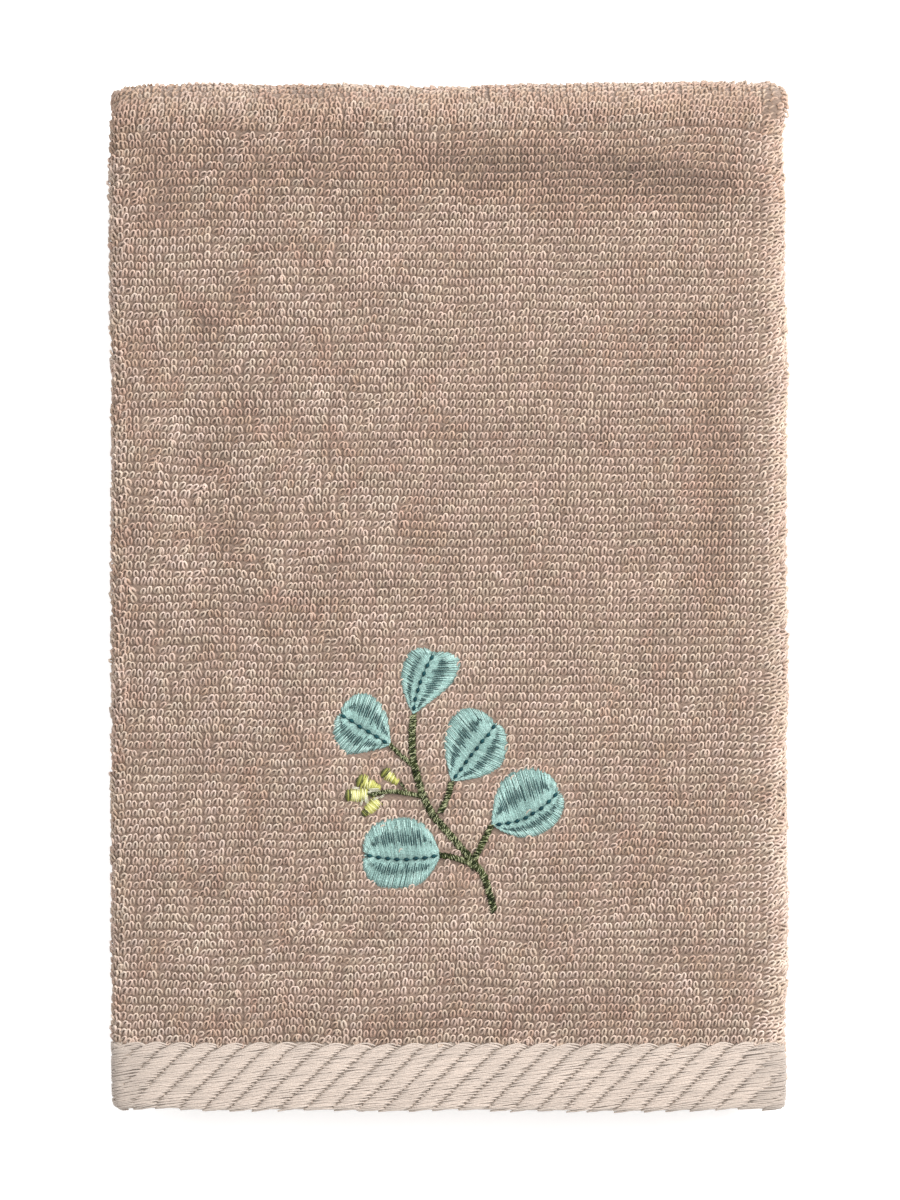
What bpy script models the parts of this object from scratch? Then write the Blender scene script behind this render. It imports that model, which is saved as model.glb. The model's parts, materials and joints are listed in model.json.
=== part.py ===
"""A terry hand towel, folded in thirds both ways and lying face up.

The open towel is a flat slab of cloth. It is cut into sections at the lines where it
will bend, the ribs of its woven band are raised, and then every point is folded twice:
first across the width, like a letter, and then along the length, back and forth.
+X is the towel's right, +Y its top fold, +Z up. The origin is under its middle.
"""

import math

import bmesh
import bpy

MM = 0.001

# The open towel.
TOWEL_WIDTH = 400 * MM
TOWEL_LENGTH = 600 * MM
CLOTH = 2.5 * MM          # terry with its loops, from tip to tip
LAYER_GAP = 0.5 * MM      # between the layers of one strip
STRIP_GAP = 1.0 * MM      # between the strips of the second fold

# The towel as it lies folded.
FACE_WIDTH = 135.2 * MM
FACE_LENGTH = 205.8 * MM
HEM_SETBACK = 2.2 * MM    # how far the bottom fold stays behind the front hem

# The woven band across each end, with no loops.
BAND = 13.8 * MM
BAND_STEP = 1.0 * MM      # where the pile drops to the band
BAND_RECESS = 0.7 * MM
HEM_ROUND = 0.9 * MM      # the soft edge of the turned hem
HEM_INSET = 0.55 * MM
HEM_CORNER = 1.6 * MM     # the rest of a rounded corner, past the soft edge

# The band's diagonal ribs.
RIB_PITCH = 5.16 * MM     # along the hem
RIB_ANGLE = math.radians(45)
RIB_HEIGHT = 0.5 * MM
RIB_FADE = 4.0 * MM       # ribs fade out towards the side folds
RIB_END = 0.8 * MM        # and where they meet the pile
RIB_LINES = (0.0, 0.12, 0.36, 0.64, 0.88)   # shares of the pitch, from groove to groove
RIB_SHAPE = 0.45          # below 1 makes broad backs and narrow grooves
SMALLEST_EDGE = 0.05 * MM

TAUPE = (0.46, 0.33, 0.26)
CREAM = (0.66, 0.56, 0.48)

# A strip is the front panel with two flaps behind it, folded like a letter.
STRIP = 3 * CLOTH + 2 * LAYER_GAP
LEFT_RADIUS = CLOTH + LAYER_GAP / 2           # the tight fold of the inner flap
RIGHT_RADIUS = STRIP / 2                      # the wide fold of the outer flap
PANEL = FACE_WIDTH - LEFT_RADIUS - RIGHT_RADIUS
FLAPS = TOWEL_WIDTH - PANEL - math.pi * (LEFT_RADIUS + RIGHT_RADIUS)
PANEL_LEFT = -FACE_WIDTH / 2 + LEFT_RADIUS
PANEL_RIGHT = PANEL_LEFT + PANEL

# Three strips lie on each other. The face is outside in the top fold.
TOP_RADIUS = STRIP + STRIP_GAP / 2
BOTTOM_RADIUS = STRIP_GAP / 2
HEIGHT = 3 * STRIP + 2 * STRIP_GAP
FRONT_STRIP = FACE_LENGTH - TOP_RADIUS
MIDDLE_STRIP = FRONT_STRIP - HEM_SETBACK - STRIP - BOTTOM_RADIUS
FLOOR_STRIP = TOWEL_LENGTH - FRONT_STRIP - MIDDLE_STRIP - math.pi * (TOP_RADIUS + BOTTOM_RADIUS)
HEM_Y = -FACE_LENGTH / 2
TOP_AXIS = HEM_Y + FRONT_STRIP
BOTTOM_AXIS = TOP_AXIS - MIDDLE_STRIP

# Stretches of the open cloth: name, length on the face, number of sections.
ACROSS = (
    ("inner flap", FLAPS / 2, 7),
    ("left fold", math.pi * LEFT_RADIUS, 7),
    ("front panel", PANEL, 11),
    ("right fold", math.pi * RIGHT_RADIUS, 8),
    ("outer flap", FLAPS / 2, 8),
)
ALONG = (
    ("hem edge", HEM_ROUND / 3, 1),
    ("hem round", HEM_ROUND * 2 / 3, 1),
    ("hem corner", HEM_CORNER, 1),
    ("band", BAND - HEM_ROUND - HEM_CORNER - RIB_END, 1),
    ("band end", RIB_END, 1),
    ("band step", BAND_STEP, 1),
    ("front strip", FRONT_STRIP - BAND - BAND_STEP, 12),
    ("top fold", math.pi * TOP_RADIUS, 8),
    ("middle strip", MIDDLE_STRIP, 7),
    ("bottom fold", math.pi * BOTTOM_RADIUS, 6),
    ("floor strip", FLOOR_STRIP - BAND - BAND_STEP, 7),
    ("far band step", BAND_STEP, 1),
    ("far band", BAND - HEM_ROUND, 1),
    ("far hem", HEM_ROUND, 1),
)

# How the outline strays from straight, outwards: distance from the hem, left, right.
SIDE_WAVES = (
    (0 * MM, -0.3 * MM, 0.0 * MM),
    (8 * MM, -0.1 * MM, 0.1 * MM),
    (16 * MM, 0.0 * MM, -0.5 * MM),
    (32 * MM, 0.0 * MM, 0.1 * MM),
    (62 * MM, 0.1 * MM, -0.2 * MM),
    (72 * MM, 0.0 * MM, -0.4 * MM),
    (88 * MM, 0.0 * MM, 0.2 * MM),
    (120 * MM, 0.0 * MM, 0.1 * MM),
    (148 * MM, 0.0 * MM, 0.1 * MM),
    (166 * MM, 0.3 * MM, -0.5 * MM),
    (184 * MM, 0.4 * MM, -0.5 * MM),
    (193 * MM, 0.2 * MM, -1.0 * MM),
    (205 * MM, 0.1 * MM, -0.5 * MM),
)
# The same for the ends: distance from the left side, bottom, top.
END_WAVES = (
    (0 * MM, -0.2 * MM, -0.7 * MM),
    (8 * MM, -0.4 * MM, 0.0 * MM),
    (22 * MM, 0.1 * MM, 0.1 * MM),
    (34 * MM, -0.1 * MM, -0.2 * MM),
    (45 * MM, 0.0 * MM, 0.1 * MM),
    (58 * MM, 0.2 * MM, -0.5 * MM),
    (68 * MM, -0.1 * MM, -0.6 * MM),
    (84 * MM, 0.1 * MM, 0.0 * MM),
    (104 * MM, 0.2 * MM, 0.3 * MM),
    (119 * MM, 0.0 * MM, 0.4 * MM),
    (126 * MM, -0.3 * MM, 0.2 * MM),
    (135 * MM, -0.1 * MM, -0.2 * MM),
)
WAVE_REACH = 30 * MM      # how far in from the edge a wave is felt

# Rounded corners in plan: along x, along y, radius.
CORNERS = (
    (-1, 1, 2.2 * MM),
    (1, 1, 1.2 * MM),
    (-1, -1, 2.4 * MM),
    (1, -1, 2.0 * MM),
)

# Soft troughs (+) and swells (-) of the top: x, y, half length, half width, turn of the
# length from +X in degrees, depth.
HOLLOWS = (
    (18 * MM, 83 * MM, 58 * MM, 6.5 * MM, -1, 0.9 * MM),
    (-50 * MM, 45 * MM, 60 * MM, 9 * MM, 94, 0.7 * MM),
    (-64 * MM, -30 * MM, 90 * MM, 10 * MM, 90, 0.6 * MM),
    (52 * MM, 10 * MM, 70 * MM, 9 * MM, 84, 0.5 * MM),
    (-5 * MM, 12 * MM, 50 * MM, 16 * MM, 9, 0.4 * MM),
    (20 * MM, -45 * MM, 34 * MM, 20 * MM, -12, -0.4 * MM),
    (-22 * MM, 62 * MM, 22 * MM, 14 * MM, 0, -0.5 * MM),
    (0 * MM, -91 * MM, 70 * MM, 5 * MM, 0, 0.5 * MM),
)
NARROWER_BELOW = 0.9 * MM   # how far the lowest layer stays inside the outline
STRAY_BELOW = 0.35 * MM     # how much the lower strips wander sideways
STRAY_LENGTH = 34 * MM      # along the towel, for one radian of that
STRAY_RISE = 7 * MM         # and upwards


def smooth(value, start, end):
    """0 before start, 1 after end, and a soft S between them."""
    share = min(max((value - start) / (end - start), 0.0), 1.0)
    return share * share * (3 - 2 * share)


def read_table(rows, at, column):
    """The value in a column of a table whose first column is a distance, joined softly."""
    if at <= rows[0][0]:
        return rows[0][column]
    for low, high in zip(rows, rows[1:]):
        if at <= high[0]:
            return low[column] + (high[column] - low[column]) * smooth(at, low[0], high[0])
    return rows[-1][column]


def section_lines(stretches):
    """The distance of every section line from the cloth's first edge."""
    lines = [0.0]
    for _, length, count in stretches:
        start = lines[-1]
        lines += [start + length * step / count for step in range(1, count + 1)]
    return lines


def stretch_start(stretches, name):
    """How far along the cloth a named stretch starts."""
    start = 0.0
    for stretch, length, _ in stretches:
        if stretch == name:
            return start
        start += length
    raise KeyError(name)


PANEL_START = stretch_start(ACROSS, "front panel")
RIGHT_FOLD_START = stretch_start(ACROSS, "right fold")
OUTER_FLAP_START = stretch_start(ACROSS, "outer flap")
LEFT_FOLD_START = stretch_start(ACROSS, "left fold")
MIDDLE_START = stretch_start(ALONG, "middle strip")
FLOOR_START = stretch_start(ALONG, "floor strip")


def rib_phase(across, along):
    """Counts ribs from the panel's left corner at the hem, with whole numbers in grooves."""
    return (across - PANEL_START - along / math.tan(RIB_ANGLE)) / RIB_PITCH


def rib_relief(across, along):
    """How far the band's ribs stand up, 0 in the grooves and 1 on a rib's back."""
    back = abs(math.sin(math.pi * rib_phase(across, along))) ** RIB_SHAPE
    sides = smooth(across, PANEL_START, PANEL_START + RIB_FADE)
    sides *= smooth(RIGHT_FOLD_START - across, 0, RIB_FADE)
    ends = smooth(along, -HEM_ROUND, HEM_ROUND) * smooth(BAND - along, 0, RIB_END)
    return back * sides * ends


def cloth_depth(across, along, depth):
    """Thins the cloth at its woven bands and hems, and raises the ribs on the front."""
    from_end = min(along, TOWEL_LENGTH - along)
    recess = BAND_RECESS * (1 - smooth(from_end, BAND, BAND + BAND_STEP))
    edge = min(max(1 - from_end / HEM_ROUND, 0.0), 1.0)
    inset = HEM_INSET * (1 - math.sqrt(1 - edge * edge))
    if depth < CLOTH / 2:
        return recess + inset - RIB_HEIGHT * rib_relief(across, along)
    return CLOTH - recess / 3 - inset


def fold_across(across, depth):
    """Folds the width like a letter. Returns x and the depth below the strip's face."""
    if across < LEFT_FOLD_START:
        return PANEL_LEFT + (LEFT_FOLD_START - across), 2 * LEFT_RADIUS - depth
    if across < PANEL_START:
        turn = (PANEL_START - across) / LEFT_RADIUS
        radius = LEFT_RADIUS - depth
        return PANEL_LEFT - radius * math.sin(turn), LEFT_RADIUS - radius * math.cos(turn)
    if across <= RIGHT_FOLD_START:
        return PANEL_LEFT + (across - PANEL_START), depth
    if across < OUTER_FLAP_START:
        turn = (across - RIGHT_FOLD_START) / RIGHT_RADIUS
        radius = RIGHT_RADIUS - depth
        return PANEL_RIGHT + radius * math.sin(turn), RIGHT_RADIUS - radius * math.cos(turn)
    return PANEL_RIGHT - (across - OUTER_FLAP_START), 2 * RIGHT_RADIUS - depth


def fold_along(along, depth):
    """Folds the length back and forth in three strips. Returns y and z."""
    if along <= FRONT_STRIP:
        return HEM_Y + along, HEIGHT - depth
    if along < MIDDLE_START:
        turn = (along - FRONT_STRIP) / TOP_RADIUS
        radius = TOP_RADIUS - depth
        return TOP_AXIS + radius * math.sin(turn), HEIGHT - TOP_RADIUS + radius * math.cos(turn)
    middle_face = HEIGHT - 2 * TOP_RADIUS
    if along <= MIDDLE_START + MIDDLE_STRIP:
        return TOP_AXIS - (along - MIDDLE_START), middle_face + depth
    if along < FLOOR_START:
        turn = (along - MIDDLE_START - MIDDLE_STRIP) / BOTTOM_RADIUS
        radius = BOTTOM_RADIUS + depth
        low = middle_face - BOTTOM_RADIUS
        return BOTTOM_AXIS - radius * math.sin(turn), low + radius * math.cos(turn)
    return BOTTOM_AXIS + (along - FLOOR_START), middle_face - 2 * BOTTOM_RADIUS - depth


def hollow_depth(x, y):
    """How far the top sinks at a place, from the soft troughs and swells."""
    sunk = 0.0
    for middle_x, middle_y, half_length, half_width, turn, depth in HOLLOWS:
        angle = math.radians(turn)
        away_x, away_y = x - middle_x, y - middle_y
        along = (away_x * math.cos(angle) + away_y * math.sin(angle)) / half_length
        aside = (away_y * math.cos(angle) - away_x * math.sin(angle)) / half_width
        sunk += depth * math.exp(-along ** 4 - aside ** 2)
    return sunk


def corner_cut(x, y):
    """How far a side moves in at a rounded corner."""
    cut = 0.0
    for side, end, radius in CORNERS:
        reach = end * y - (FACE_LENGTH / 2 - radius)
        if side * x > 0 and reach > 0:
            part = min(reach / radius, 1.0)
            cut += side * radius * (1 - math.sqrt(1 - part * part))
    return cut


def settle(x, y, z):
    """The unevenness of the cloth as it lies. All layers move together, so none meet."""
    half_x, half_y = FACE_WIDTH / 2, FACE_LENGTH / 2
    left = smooth(-x, half_x - WAVE_REACH, half_x)
    right = smooth(x, half_x - WAVE_REACH, half_x)
    bottom = smooth(-y, half_y - WAVE_REACH, half_y)
    top = smooth(y, half_y - WAVE_REACH, half_y)
    from_hem, from_left = y + half_y, x + half_x
    new_x = x - left * read_table(SIDE_WAVES, from_hem, 1)
    new_x += right * read_table(SIDE_WAVES, from_hem, 2)
    new_y = y - bottom * read_table(END_WAVES, from_left, 1)
    new_y += top * read_table(END_WAVES, from_left, 2)
    new_x -= corner_cut(x, y) * max(left, right)
    below = 1 - z / HEIGHT
    new_x *= 1 - NARROWER_BELOW / half_x * below
    new_x += STRAY_BELOW * below * math.sin(y / STRAY_LENGTH + z / STRAY_RISE)
    new_z = z - hollow_depth(x, y) * (z / HEIGHT) ** 2
    return new_x, new_y, new_z


def cut(bm, parts, place, direction):
    """Cuts faces and their edges along the plane through a point of the open cloth."""
    verts = dict.fromkeys(vert for face in parts for vert in face.verts)
    edges = dict.fromkeys(edge for face in parts for edge in face.edges)
    touched = [*verts, *edges, *parts]
    bmesh.ops.bisect_plane(bm, geom=touched, plane_co=place, plane_no=direction)


def flat_cloth():
    """The open towel as a slab, cut at each section line. Its face is on top."""
    bm = bmesh.new()
    bmesh.ops.create_cube(bm, size=1)
    bmesh.ops.scale(bm, vec=(TOWEL_WIDTH, TOWEL_LENGTH, CLOTH), verts=bm.verts)
    middle = (TOWEL_WIDTH / 2, TOWEL_LENGTH / 2, -CLOTH / 2)
    bmesh.ops.translate(bm, vec=middle, verts=bm.verts)
    for line in section_lines(ACROSS)[1:-1]:
        cut(bm, bm.faces[:], (line, 0, 0), (1, 0, 0))
    for line in section_lines(ALONG)[1:-1]:
        cut(bm, bm.faces[:], (0, line, 0), (0, 1, 0))
    bm.normal_update()
    return bm


def band_face(bm):
    """The faces of the front band, on the pile side between the two side folds."""
    found = []
    for face in bm.faces:
        place = face.calc_center_median()
        on_panel = PANEL_START < place.x < RIGHT_FOLD_START
        if face.normal.z > 0.5 and on_panel and place.y < BAND:
            found.append(face)
    return found


def cut_ribs(bm):
    """Cuts the front band along its diagonal ribs, so that they can be raised."""
    for fade in (PANEL_START + RIB_FADE, RIGHT_FOLD_START - RIB_FADE):
        cut(bm, band_face(bm), (fade, 0, 0), (1, 0, 0))
    slant = (math.sin(RIB_ANGLE), -math.cos(RIB_ANGLE), 0)
    first = math.floor(rib_phase(PANEL_START, BAND))
    last = math.ceil(rib_phase(RIGHT_FOLD_START, 0))
    for rib in range(first, last + 1):
        for share in RIB_LINES:
            start = PANEL_START + (rib + share) * RIB_PITCH
            cut(bm, band_face(bm), (start, 0, 0), slant)
    bmesh.ops.remove_doubles(bm, verts=bm.verts, dist=SMALLEST_EDGE)


def fold(bm):
    """Moves every point of the flat cloth to its place in the folded towel."""
    for vert in bm.verts:
        across, along, depth = vert.co.x, vert.co.y, -vert.co.z
        depth = cloth_depth(across, along, depth)
        x, below = fold_across(across, depth)
        y, z = fold_along(along, below)
        vert.co = settle(x, y, z)


def centre(bm):
    """Puts the origin under the middle of the towel, on the surface it lies on."""
    lows = [min(vert.co[axis] for vert in bm.verts) for axis in range(3)]
    highs = [max(vert.co[axis] for vert in bm.verts) for axis in range(3)]
    shift = (-(lows[0] + highs[0]) / 2, -(lows[1] + highs[1]) / 2, -lows[2])
    bmesh.ops.translate(bm, vec=shift, verts=bm.verts)


def cloth_material(name, colour, roughness):
    """A plain matt cloth surface."""
    material = bpy.data.materials.new(name)
    material.use_nodes = True
    surface = material.node_tree.nodes["Principled BSDF"]
    surface.inputs["Base Color"].default_value = (*colour, 1.0)
    surface.inputs["Roughness"].default_value = roughness
    surface.inputs["Metallic"].default_value = 0.0
    return material


def build_towel():
    """The whole towel as one closed solid, in its collection."""
    bm = flat_cloth()
    cut_ribs(bm)
    for face in bm.faces:
        along = face.calc_center_median().y
        face.material_index = 1 if min(along, TOWEL_LENGTH - along) < BAND else 0
        face.smooth = True
    fold(bm)
    centre(bm)
    bmesh.ops.triangulate(bm, faces=bm.faces)
    mesh = bpy.data.meshes.new("towel_cloth")
    bm.to_mesh(mesh)
    bm.free()
    mesh.materials.append(cloth_material("terry_taupe", TAUPE, 0.95))
    mesh.materials.append(cloth_material("band_cream", CREAM, 0.85))
    towel = bpy.data.objects.new("towel_cloth", mesh)
    collection = bpy.data.collections.new("hand_towel")
    bpy.context.scene.collection.children.link(collection)
    collection.objects.link(towel)
    return towel


for thing in list(bpy.data.objects):
    bpy.data.objects.remove(thing, do_unlink=True)
build_towel()
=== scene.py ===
"""The folded terry hand towel, dressed: pile, woven band and a sewn sprig of leaves.

The cloth is a thin closed sheet, cut flat and folded exactly as in the part's source.
Everything else is placed by its distance across and along that open cloth and by its
depth below the pile's tips, so it goes round every fold with it. The pile is made of
yarn loops, the band of floating yarns, and the sprig of single stitches.
All lengths are in metres. +X is the towel's right, +Y its top fold, +Z up.
"""

import json
import math
import random

import bmesh
import bpy
from mathutils import Euler, Matrix, Vector, kdtree, noise

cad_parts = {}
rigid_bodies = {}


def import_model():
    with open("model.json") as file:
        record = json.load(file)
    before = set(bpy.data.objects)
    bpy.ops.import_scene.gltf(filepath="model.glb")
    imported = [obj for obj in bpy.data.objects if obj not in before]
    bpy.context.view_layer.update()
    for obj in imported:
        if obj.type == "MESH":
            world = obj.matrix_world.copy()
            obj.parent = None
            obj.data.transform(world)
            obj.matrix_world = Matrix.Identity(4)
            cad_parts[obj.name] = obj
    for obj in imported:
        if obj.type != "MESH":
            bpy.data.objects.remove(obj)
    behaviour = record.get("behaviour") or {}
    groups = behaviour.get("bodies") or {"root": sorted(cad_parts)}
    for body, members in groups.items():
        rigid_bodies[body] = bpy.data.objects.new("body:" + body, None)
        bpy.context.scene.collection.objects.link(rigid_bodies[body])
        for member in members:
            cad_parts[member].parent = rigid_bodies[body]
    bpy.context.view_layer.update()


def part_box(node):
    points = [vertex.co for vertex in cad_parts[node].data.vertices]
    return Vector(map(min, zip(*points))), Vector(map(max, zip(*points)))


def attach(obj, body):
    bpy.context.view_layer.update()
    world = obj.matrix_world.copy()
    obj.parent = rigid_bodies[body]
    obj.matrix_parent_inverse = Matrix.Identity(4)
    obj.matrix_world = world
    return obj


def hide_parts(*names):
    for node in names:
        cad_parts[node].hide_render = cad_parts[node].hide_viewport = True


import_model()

MM = 0.001

# ---------------------------------------------------------------- the folded cloth
# These sizes and folds repeat the part's source.

TOWEL_WIDTH = 400 * MM
TOWEL_LENGTH = 600 * MM
CLOTH = 2.5 * MM
LAYER_GAP = 0.5 * MM
STRIP_GAP = 1.0 * MM
FACE_WIDTH = 135.2 * MM
FACE_LENGTH = 205.8 * MM
HEM_SETBACK = 2.2 * MM
BAND = 13.8 * MM
BAND_STEP = 1.0 * MM
BAND_RECESS = 0.7 * MM
HEM_ROUND = 0.9 * MM
HEM_INSET = 0.55 * MM
HEM_CORNER = 1.6 * MM
RIB_PITCH = 5.16 * MM
RIB_ANGLE = math.radians(45)
RIB_FADE = 4.0 * MM
RIB_END = 0.8 * MM
RIB_LINES = (0.0, 0.12, 0.25, 0.4, 0.6, 0.75, 0.88)
RIB_SHAPE = 0.45
SMALLEST_EDGE = 0.05 * MM

STRIP = 3 * CLOTH + 2 * LAYER_GAP
LEFT_RADIUS = CLOTH + LAYER_GAP / 2
RIGHT_RADIUS = STRIP / 2
PANEL = FACE_WIDTH - LEFT_RADIUS - RIGHT_RADIUS
FLAPS = TOWEL_WIDTH - PANEL - math.pi * (LEFT_RADIUS + RIGHT_RADIUS)
PANEL_LEFT = -FACE_WIDTH / 2 + LEFT_RADIUS
PANEL_RIGHT = PANEL_LEFT + PANEL
TOP_RADIUS = STRIP + STRIP_GAP / 2
BOTTOM_RADIUS = STRIP_GAP / 2
HEIGHT = 3 * STRIP + 2 * STRIP_GAP
FRONT_STRIP = FACE_LENGTH - TOP_RADIUS
MIDDLE_STRIP = FRONT_STRIP - HEM_SETBACK - STRIP - BOTTOM_RADIUS
FLOOR_STRIP = TOWEL_LENGTH - FRONT_STRIP - MIDDLE_STRIP - math.pi * (TOP_RADIUS + BOTTOM_RADIUS)
HEM_Y = -FACE_LENGTH / 2
TOP_AXIS = HEM_Y + FRONT_STRIP
BOTTOM_AXIS = TOP_AXIS - MIDDLE_STRIP

# Stretches of the open cloth: name, length on the face, number of sections.
ACROSS = (
    ("inner flap", FLAPS / 2, 14),
    ("left fold", math.pi * LEFT_RADIUS, 10),
    ("front panel", PANEL, 40),
    ("right fold", math.pi * RIGHT_RADIUS, 12),
    ("outer flap", FLAPS / 2, 14),
)
ALONG = (
    ("hem edge", HEM_ROUND / 3, 1),
    ("hem round", HEM_ROUND * 2 / 3, 2),
    ("hem corner", HEM_CORNER, 1),
    ("band", BAND - HEM_ROUND - HEM_CORNER - RIB_END, 4),
    ("band end", RIB_END, 1),
    ("band step", BAND_STEP, 2),
    ("front strip", FRONT_STRIP - BAND - BAND_STEP, 56),
    ("top fold", math.pi * TOP_RADIUS, 14),
    ("middle strip", MIDDLE_STRIP, 18),
    ("bottom fold", math.pi * BOTTOM_RADIUS, 12),
    ("floor strip", FLOOR_STRIP - BAND - BAND_STEP, 18),
    ("far band step", BAND_STEP, 1),
    ("far band", BAND - HEM_ROUND, 3),
    ("far hem", HEM_ROUND, 2),
)


def in_metres(rows):
    """A table whose numbers are all in mm, in metres."""
    return [[value * MM for value in row] for row in rows]


# How the outline strays from straight, outwards, in mm: distance from the hem, left, right.
SIDE_WAVES = in_metres((
    (0, -0.3, 0.0),
    (8, -0.1, 0.1),
    (16, 0.0, -0.5),
    (32, 0.0, 0.1),
    (62, 0.1, -0.2),
    (72, 0.0, -0.4),
    (88, 0.0, 0.2),
    (120, 0.0, 0.1),
    (148, 0.0, 0.1),
    (166, 0.3, -0.5),
    (184, 0.4, -0.5),
    (193, 0.2, -1.0),
    (205, 0.1, -0.5),
))
# The same for the ends: distance from the left side, bottom, top.
END_WAVES = in_metres((
    (0, -0.2, -0.7),
    (8, -0.4, 0.0),
    (22, 0.1, 0.1),
    (34, -0.1, -0.2),
    (45, 0.0, 0.1),
    (58, 0.2, -0.5),
    (68, -0.1, -0.6),
    (84, 0.1, 0.0),
    (104, 0.2, 0.3),
    (119, 0.0, 0.4),
    (126, -0.3, 0.2),
    (135, -0.1, -0.2),
))
WAVE_REACH = 30 * MM
# Rounded corners in plan: along x, along y, radius.
CORNERS = (
    (-1, 1, 2.2 * MM),
    (1, 1, 1.2 * MM),
    (-1, -1, 2.4 * MM),
    (1, -1, 2.0 * MM),
)
# Soft troughs (+) and swells (-) of the top, in mm: x, y, half length, half width, turn in
# degrees, depth.
HOLLOWS = (
    (18, 83, 58, 6.5, -1, 0.9),
    (-50, 45, 60, 9, 94, 0.7),
    (-64, -30, 90, 10, 90, 0.6),
    (52, 10, 70, 9, 84, 0.5),
    (-5, 12, 50, 16, 9, 0.4),
    (20, -45, 34, 20, -12, -0.4),
    (-22, 62, 22, 14, 0, -0.5),
    (0, -91, 70, 5, 0, 0.5),
)
NARROWER_BELOW = 0.9 * MM
STRAY_BELOW = 0.35 * MM
STRAY_LENGTH = 34 * MM
STRAY_RISE = 7 * MM


def smooth(value, start, end):
    """0 before start, 1 after end, and a soft S between them."""
    share = min(max((value - start) / (end - start), 0.0), 1.0)
    return share * share * (3 - 2 * share)


def read_table(rows, at, column):
    """The value in a column of a table whose first column is a distance, joined softly."""
    if at <= rows[0][0]:
        return rows[0][column]
    for low, high in zip(rows, rows[1:]):
        if at <= high[0]:
            return low[column] + (high[column] - low[column]) * smooth(at, low[0], high[0])
    return rows[-1][column]


def section_lines(stretches):
    """The distance of every section line from the cloth's first edge."""
    lines = [0.0]
    for _, length, count in stretches:
        start = lines[-1]
        lines += [start + length * step / count for step in range(1, count + 1)]
    return lines


def stretch_start(stretches, name):
    """How far along the cloth a named stretch starts."""
    start = 0.0
    for stretch, length, _ in stretches:
        if stretch == name:
            return start
        start += length
    raise KeyError(name)


LEFT_FOLD_START = stretch_start(ACROSS, "left fold")
PANEL_START = stretch_start(ACROSS, "front panel")
RIGHT_FOLD_START = stretch_start(ACROSS, "right fold")
OUTER_FLAP_START = stretch_start(ACROSS, "outer flap")
MIDDLE_START = stretch_start(ALONG, "middle strip")
BOTTOM_START = stretch_start(ALONG, "bottom fold")
FLOOR_START = stretch_start(ALONG, "floor strip")


def rib_phase(across, along):
    """Counts ribs from the panel's left corner at the hem, with whole numbers in grooves."""
    return (across - PANEL_START - along / math.tan(RIB_ANGLE)) / RIB_PITCH


def rib_fade(across, along):
    """1 on the band's face, 0 where its ribs fade out at the sides and ends."""
    sides = smooth(across, PANEL_START, PANEL_START + RIB_FADE)
    sides *= smooth(RIGHT_FOLD_START - across, 0, RIB_FADE)
    ends = smooth(along, -HEM_ROUND, HEM_ROUND) * smooth(BAND - along, 0, RIB_END)
    return sides * ends


def rib_relief(across, along):
    """How far the band's ribs stand up, 0 in the grooves and 1 on a rib's back."""
    back = abs(math.sin(math.pi * rib_phase(across, along))) ** RIB_SHAPE
    return back * rib_fade(across, along)


def fold_across(across, depth):
    """Folds the width like a letter. Returns x and the depth below the strip's face."""
    if across < LEFT_FOLD_START:
        return PANEL_LEFT + (LEFT_FOLD_START - across), 2 * LEFT_RADIUS - depth
    if across < PANEL_START:
        turn = (PANEL_START - across) / LEFT_RADIUS
        radius = LEFT_RADIUS - depth
        return PANEL_LEFT - radius * math.sin(turn), LEFT_RADIUS - radius * math.cos(turn)
    if across <= RIGHT_FOLD_START:
        return PANEL_LEFT + (across - PANEL_START), depth
    if across < OUTER_FLAP_START:
        turn = (across - RIGHT_FOLD_START) / RIGHT_RADIUS
        radius = RIGHT_RADIUS - depth
        return PANEL_RIGHT + radius * math.sin(turn), RIGHT_RADIUS - radius * math.cos(turn)
    return PANEL_RIGHT - (across - OUTER_FLAP_START), 2 * RIGHT_RADIUS - depth


def fold_along(along, depth):
    """Folds the length back and forth in three strips. Returns y and z."""
    if along <= FRONT_STRIP:
        return HEM_Y + along, HEIGHT - depth
    if along < MIDDLE_START:
        turn = (along - FRONT_STRIP) / TOP_RADIUS
        radius = TOP_RADIUS - depth
        return TOP_AXIS + radius * math.sin(turn), HEIGHT - TOP_RADIUS + radius * math.cos(turn)
    middle_face = HEIGHT - 2 * TOP_RADIUS
    if along <= BOTTOM_START:
        return TOP_AXIS - (along - MIDDLE_START), middle_face + depth
    if along < FLOOR_START:
        turn = (along - BOTTOM_START) / BOTTOM_RADIUS
        radius = BOTTOM_RADIUS + depth
        low = middle_face - BOTTOM_RADIUS
        return BOTTOM_AXIS - radius * math.sin(turn), low + radius * math.cos(turn)
    return BOTTOM_AXIS + (along - FLOOR_START), middle_face - 2 * BOTTOM_RADIUS - depth


def spread_over(spots, x, y, unit=1.0):
    """What the soft long spots of a table add up to at a place."""
    found = 0.0
    for middle_x, middle_y, half_length, half_width, turn, strength in spots:
        angle = math.radians(turn)
        away_x = x - middle_x * MM
        away_y = y - middle_y * MM
        along = (away_x * math.cos(angle) + away_y * math.sin(angle)) / (half_length * MM)
        aside = (away_y * math.cos(angle) - away_x * math.sin(angle)) / (half_width * MM)
        found += strength * unit * math.exp(-along ** 4 - aside ** 2)
    return found


def corner_cut(x, y):
    """How far a side moves in at a rounded corner."""
    cut_in = 0.0
    for side, end, radius in CORNERS:
        reach = end * y - (FACE_LENGTH / 2 - radius)
        if side * x > 0 and reach > 0:
            part = min(reach / radius, 1.0)
            cut_in += side * radius * (1 - math.sqrt(1 - part * part))
    return cut_in


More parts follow.
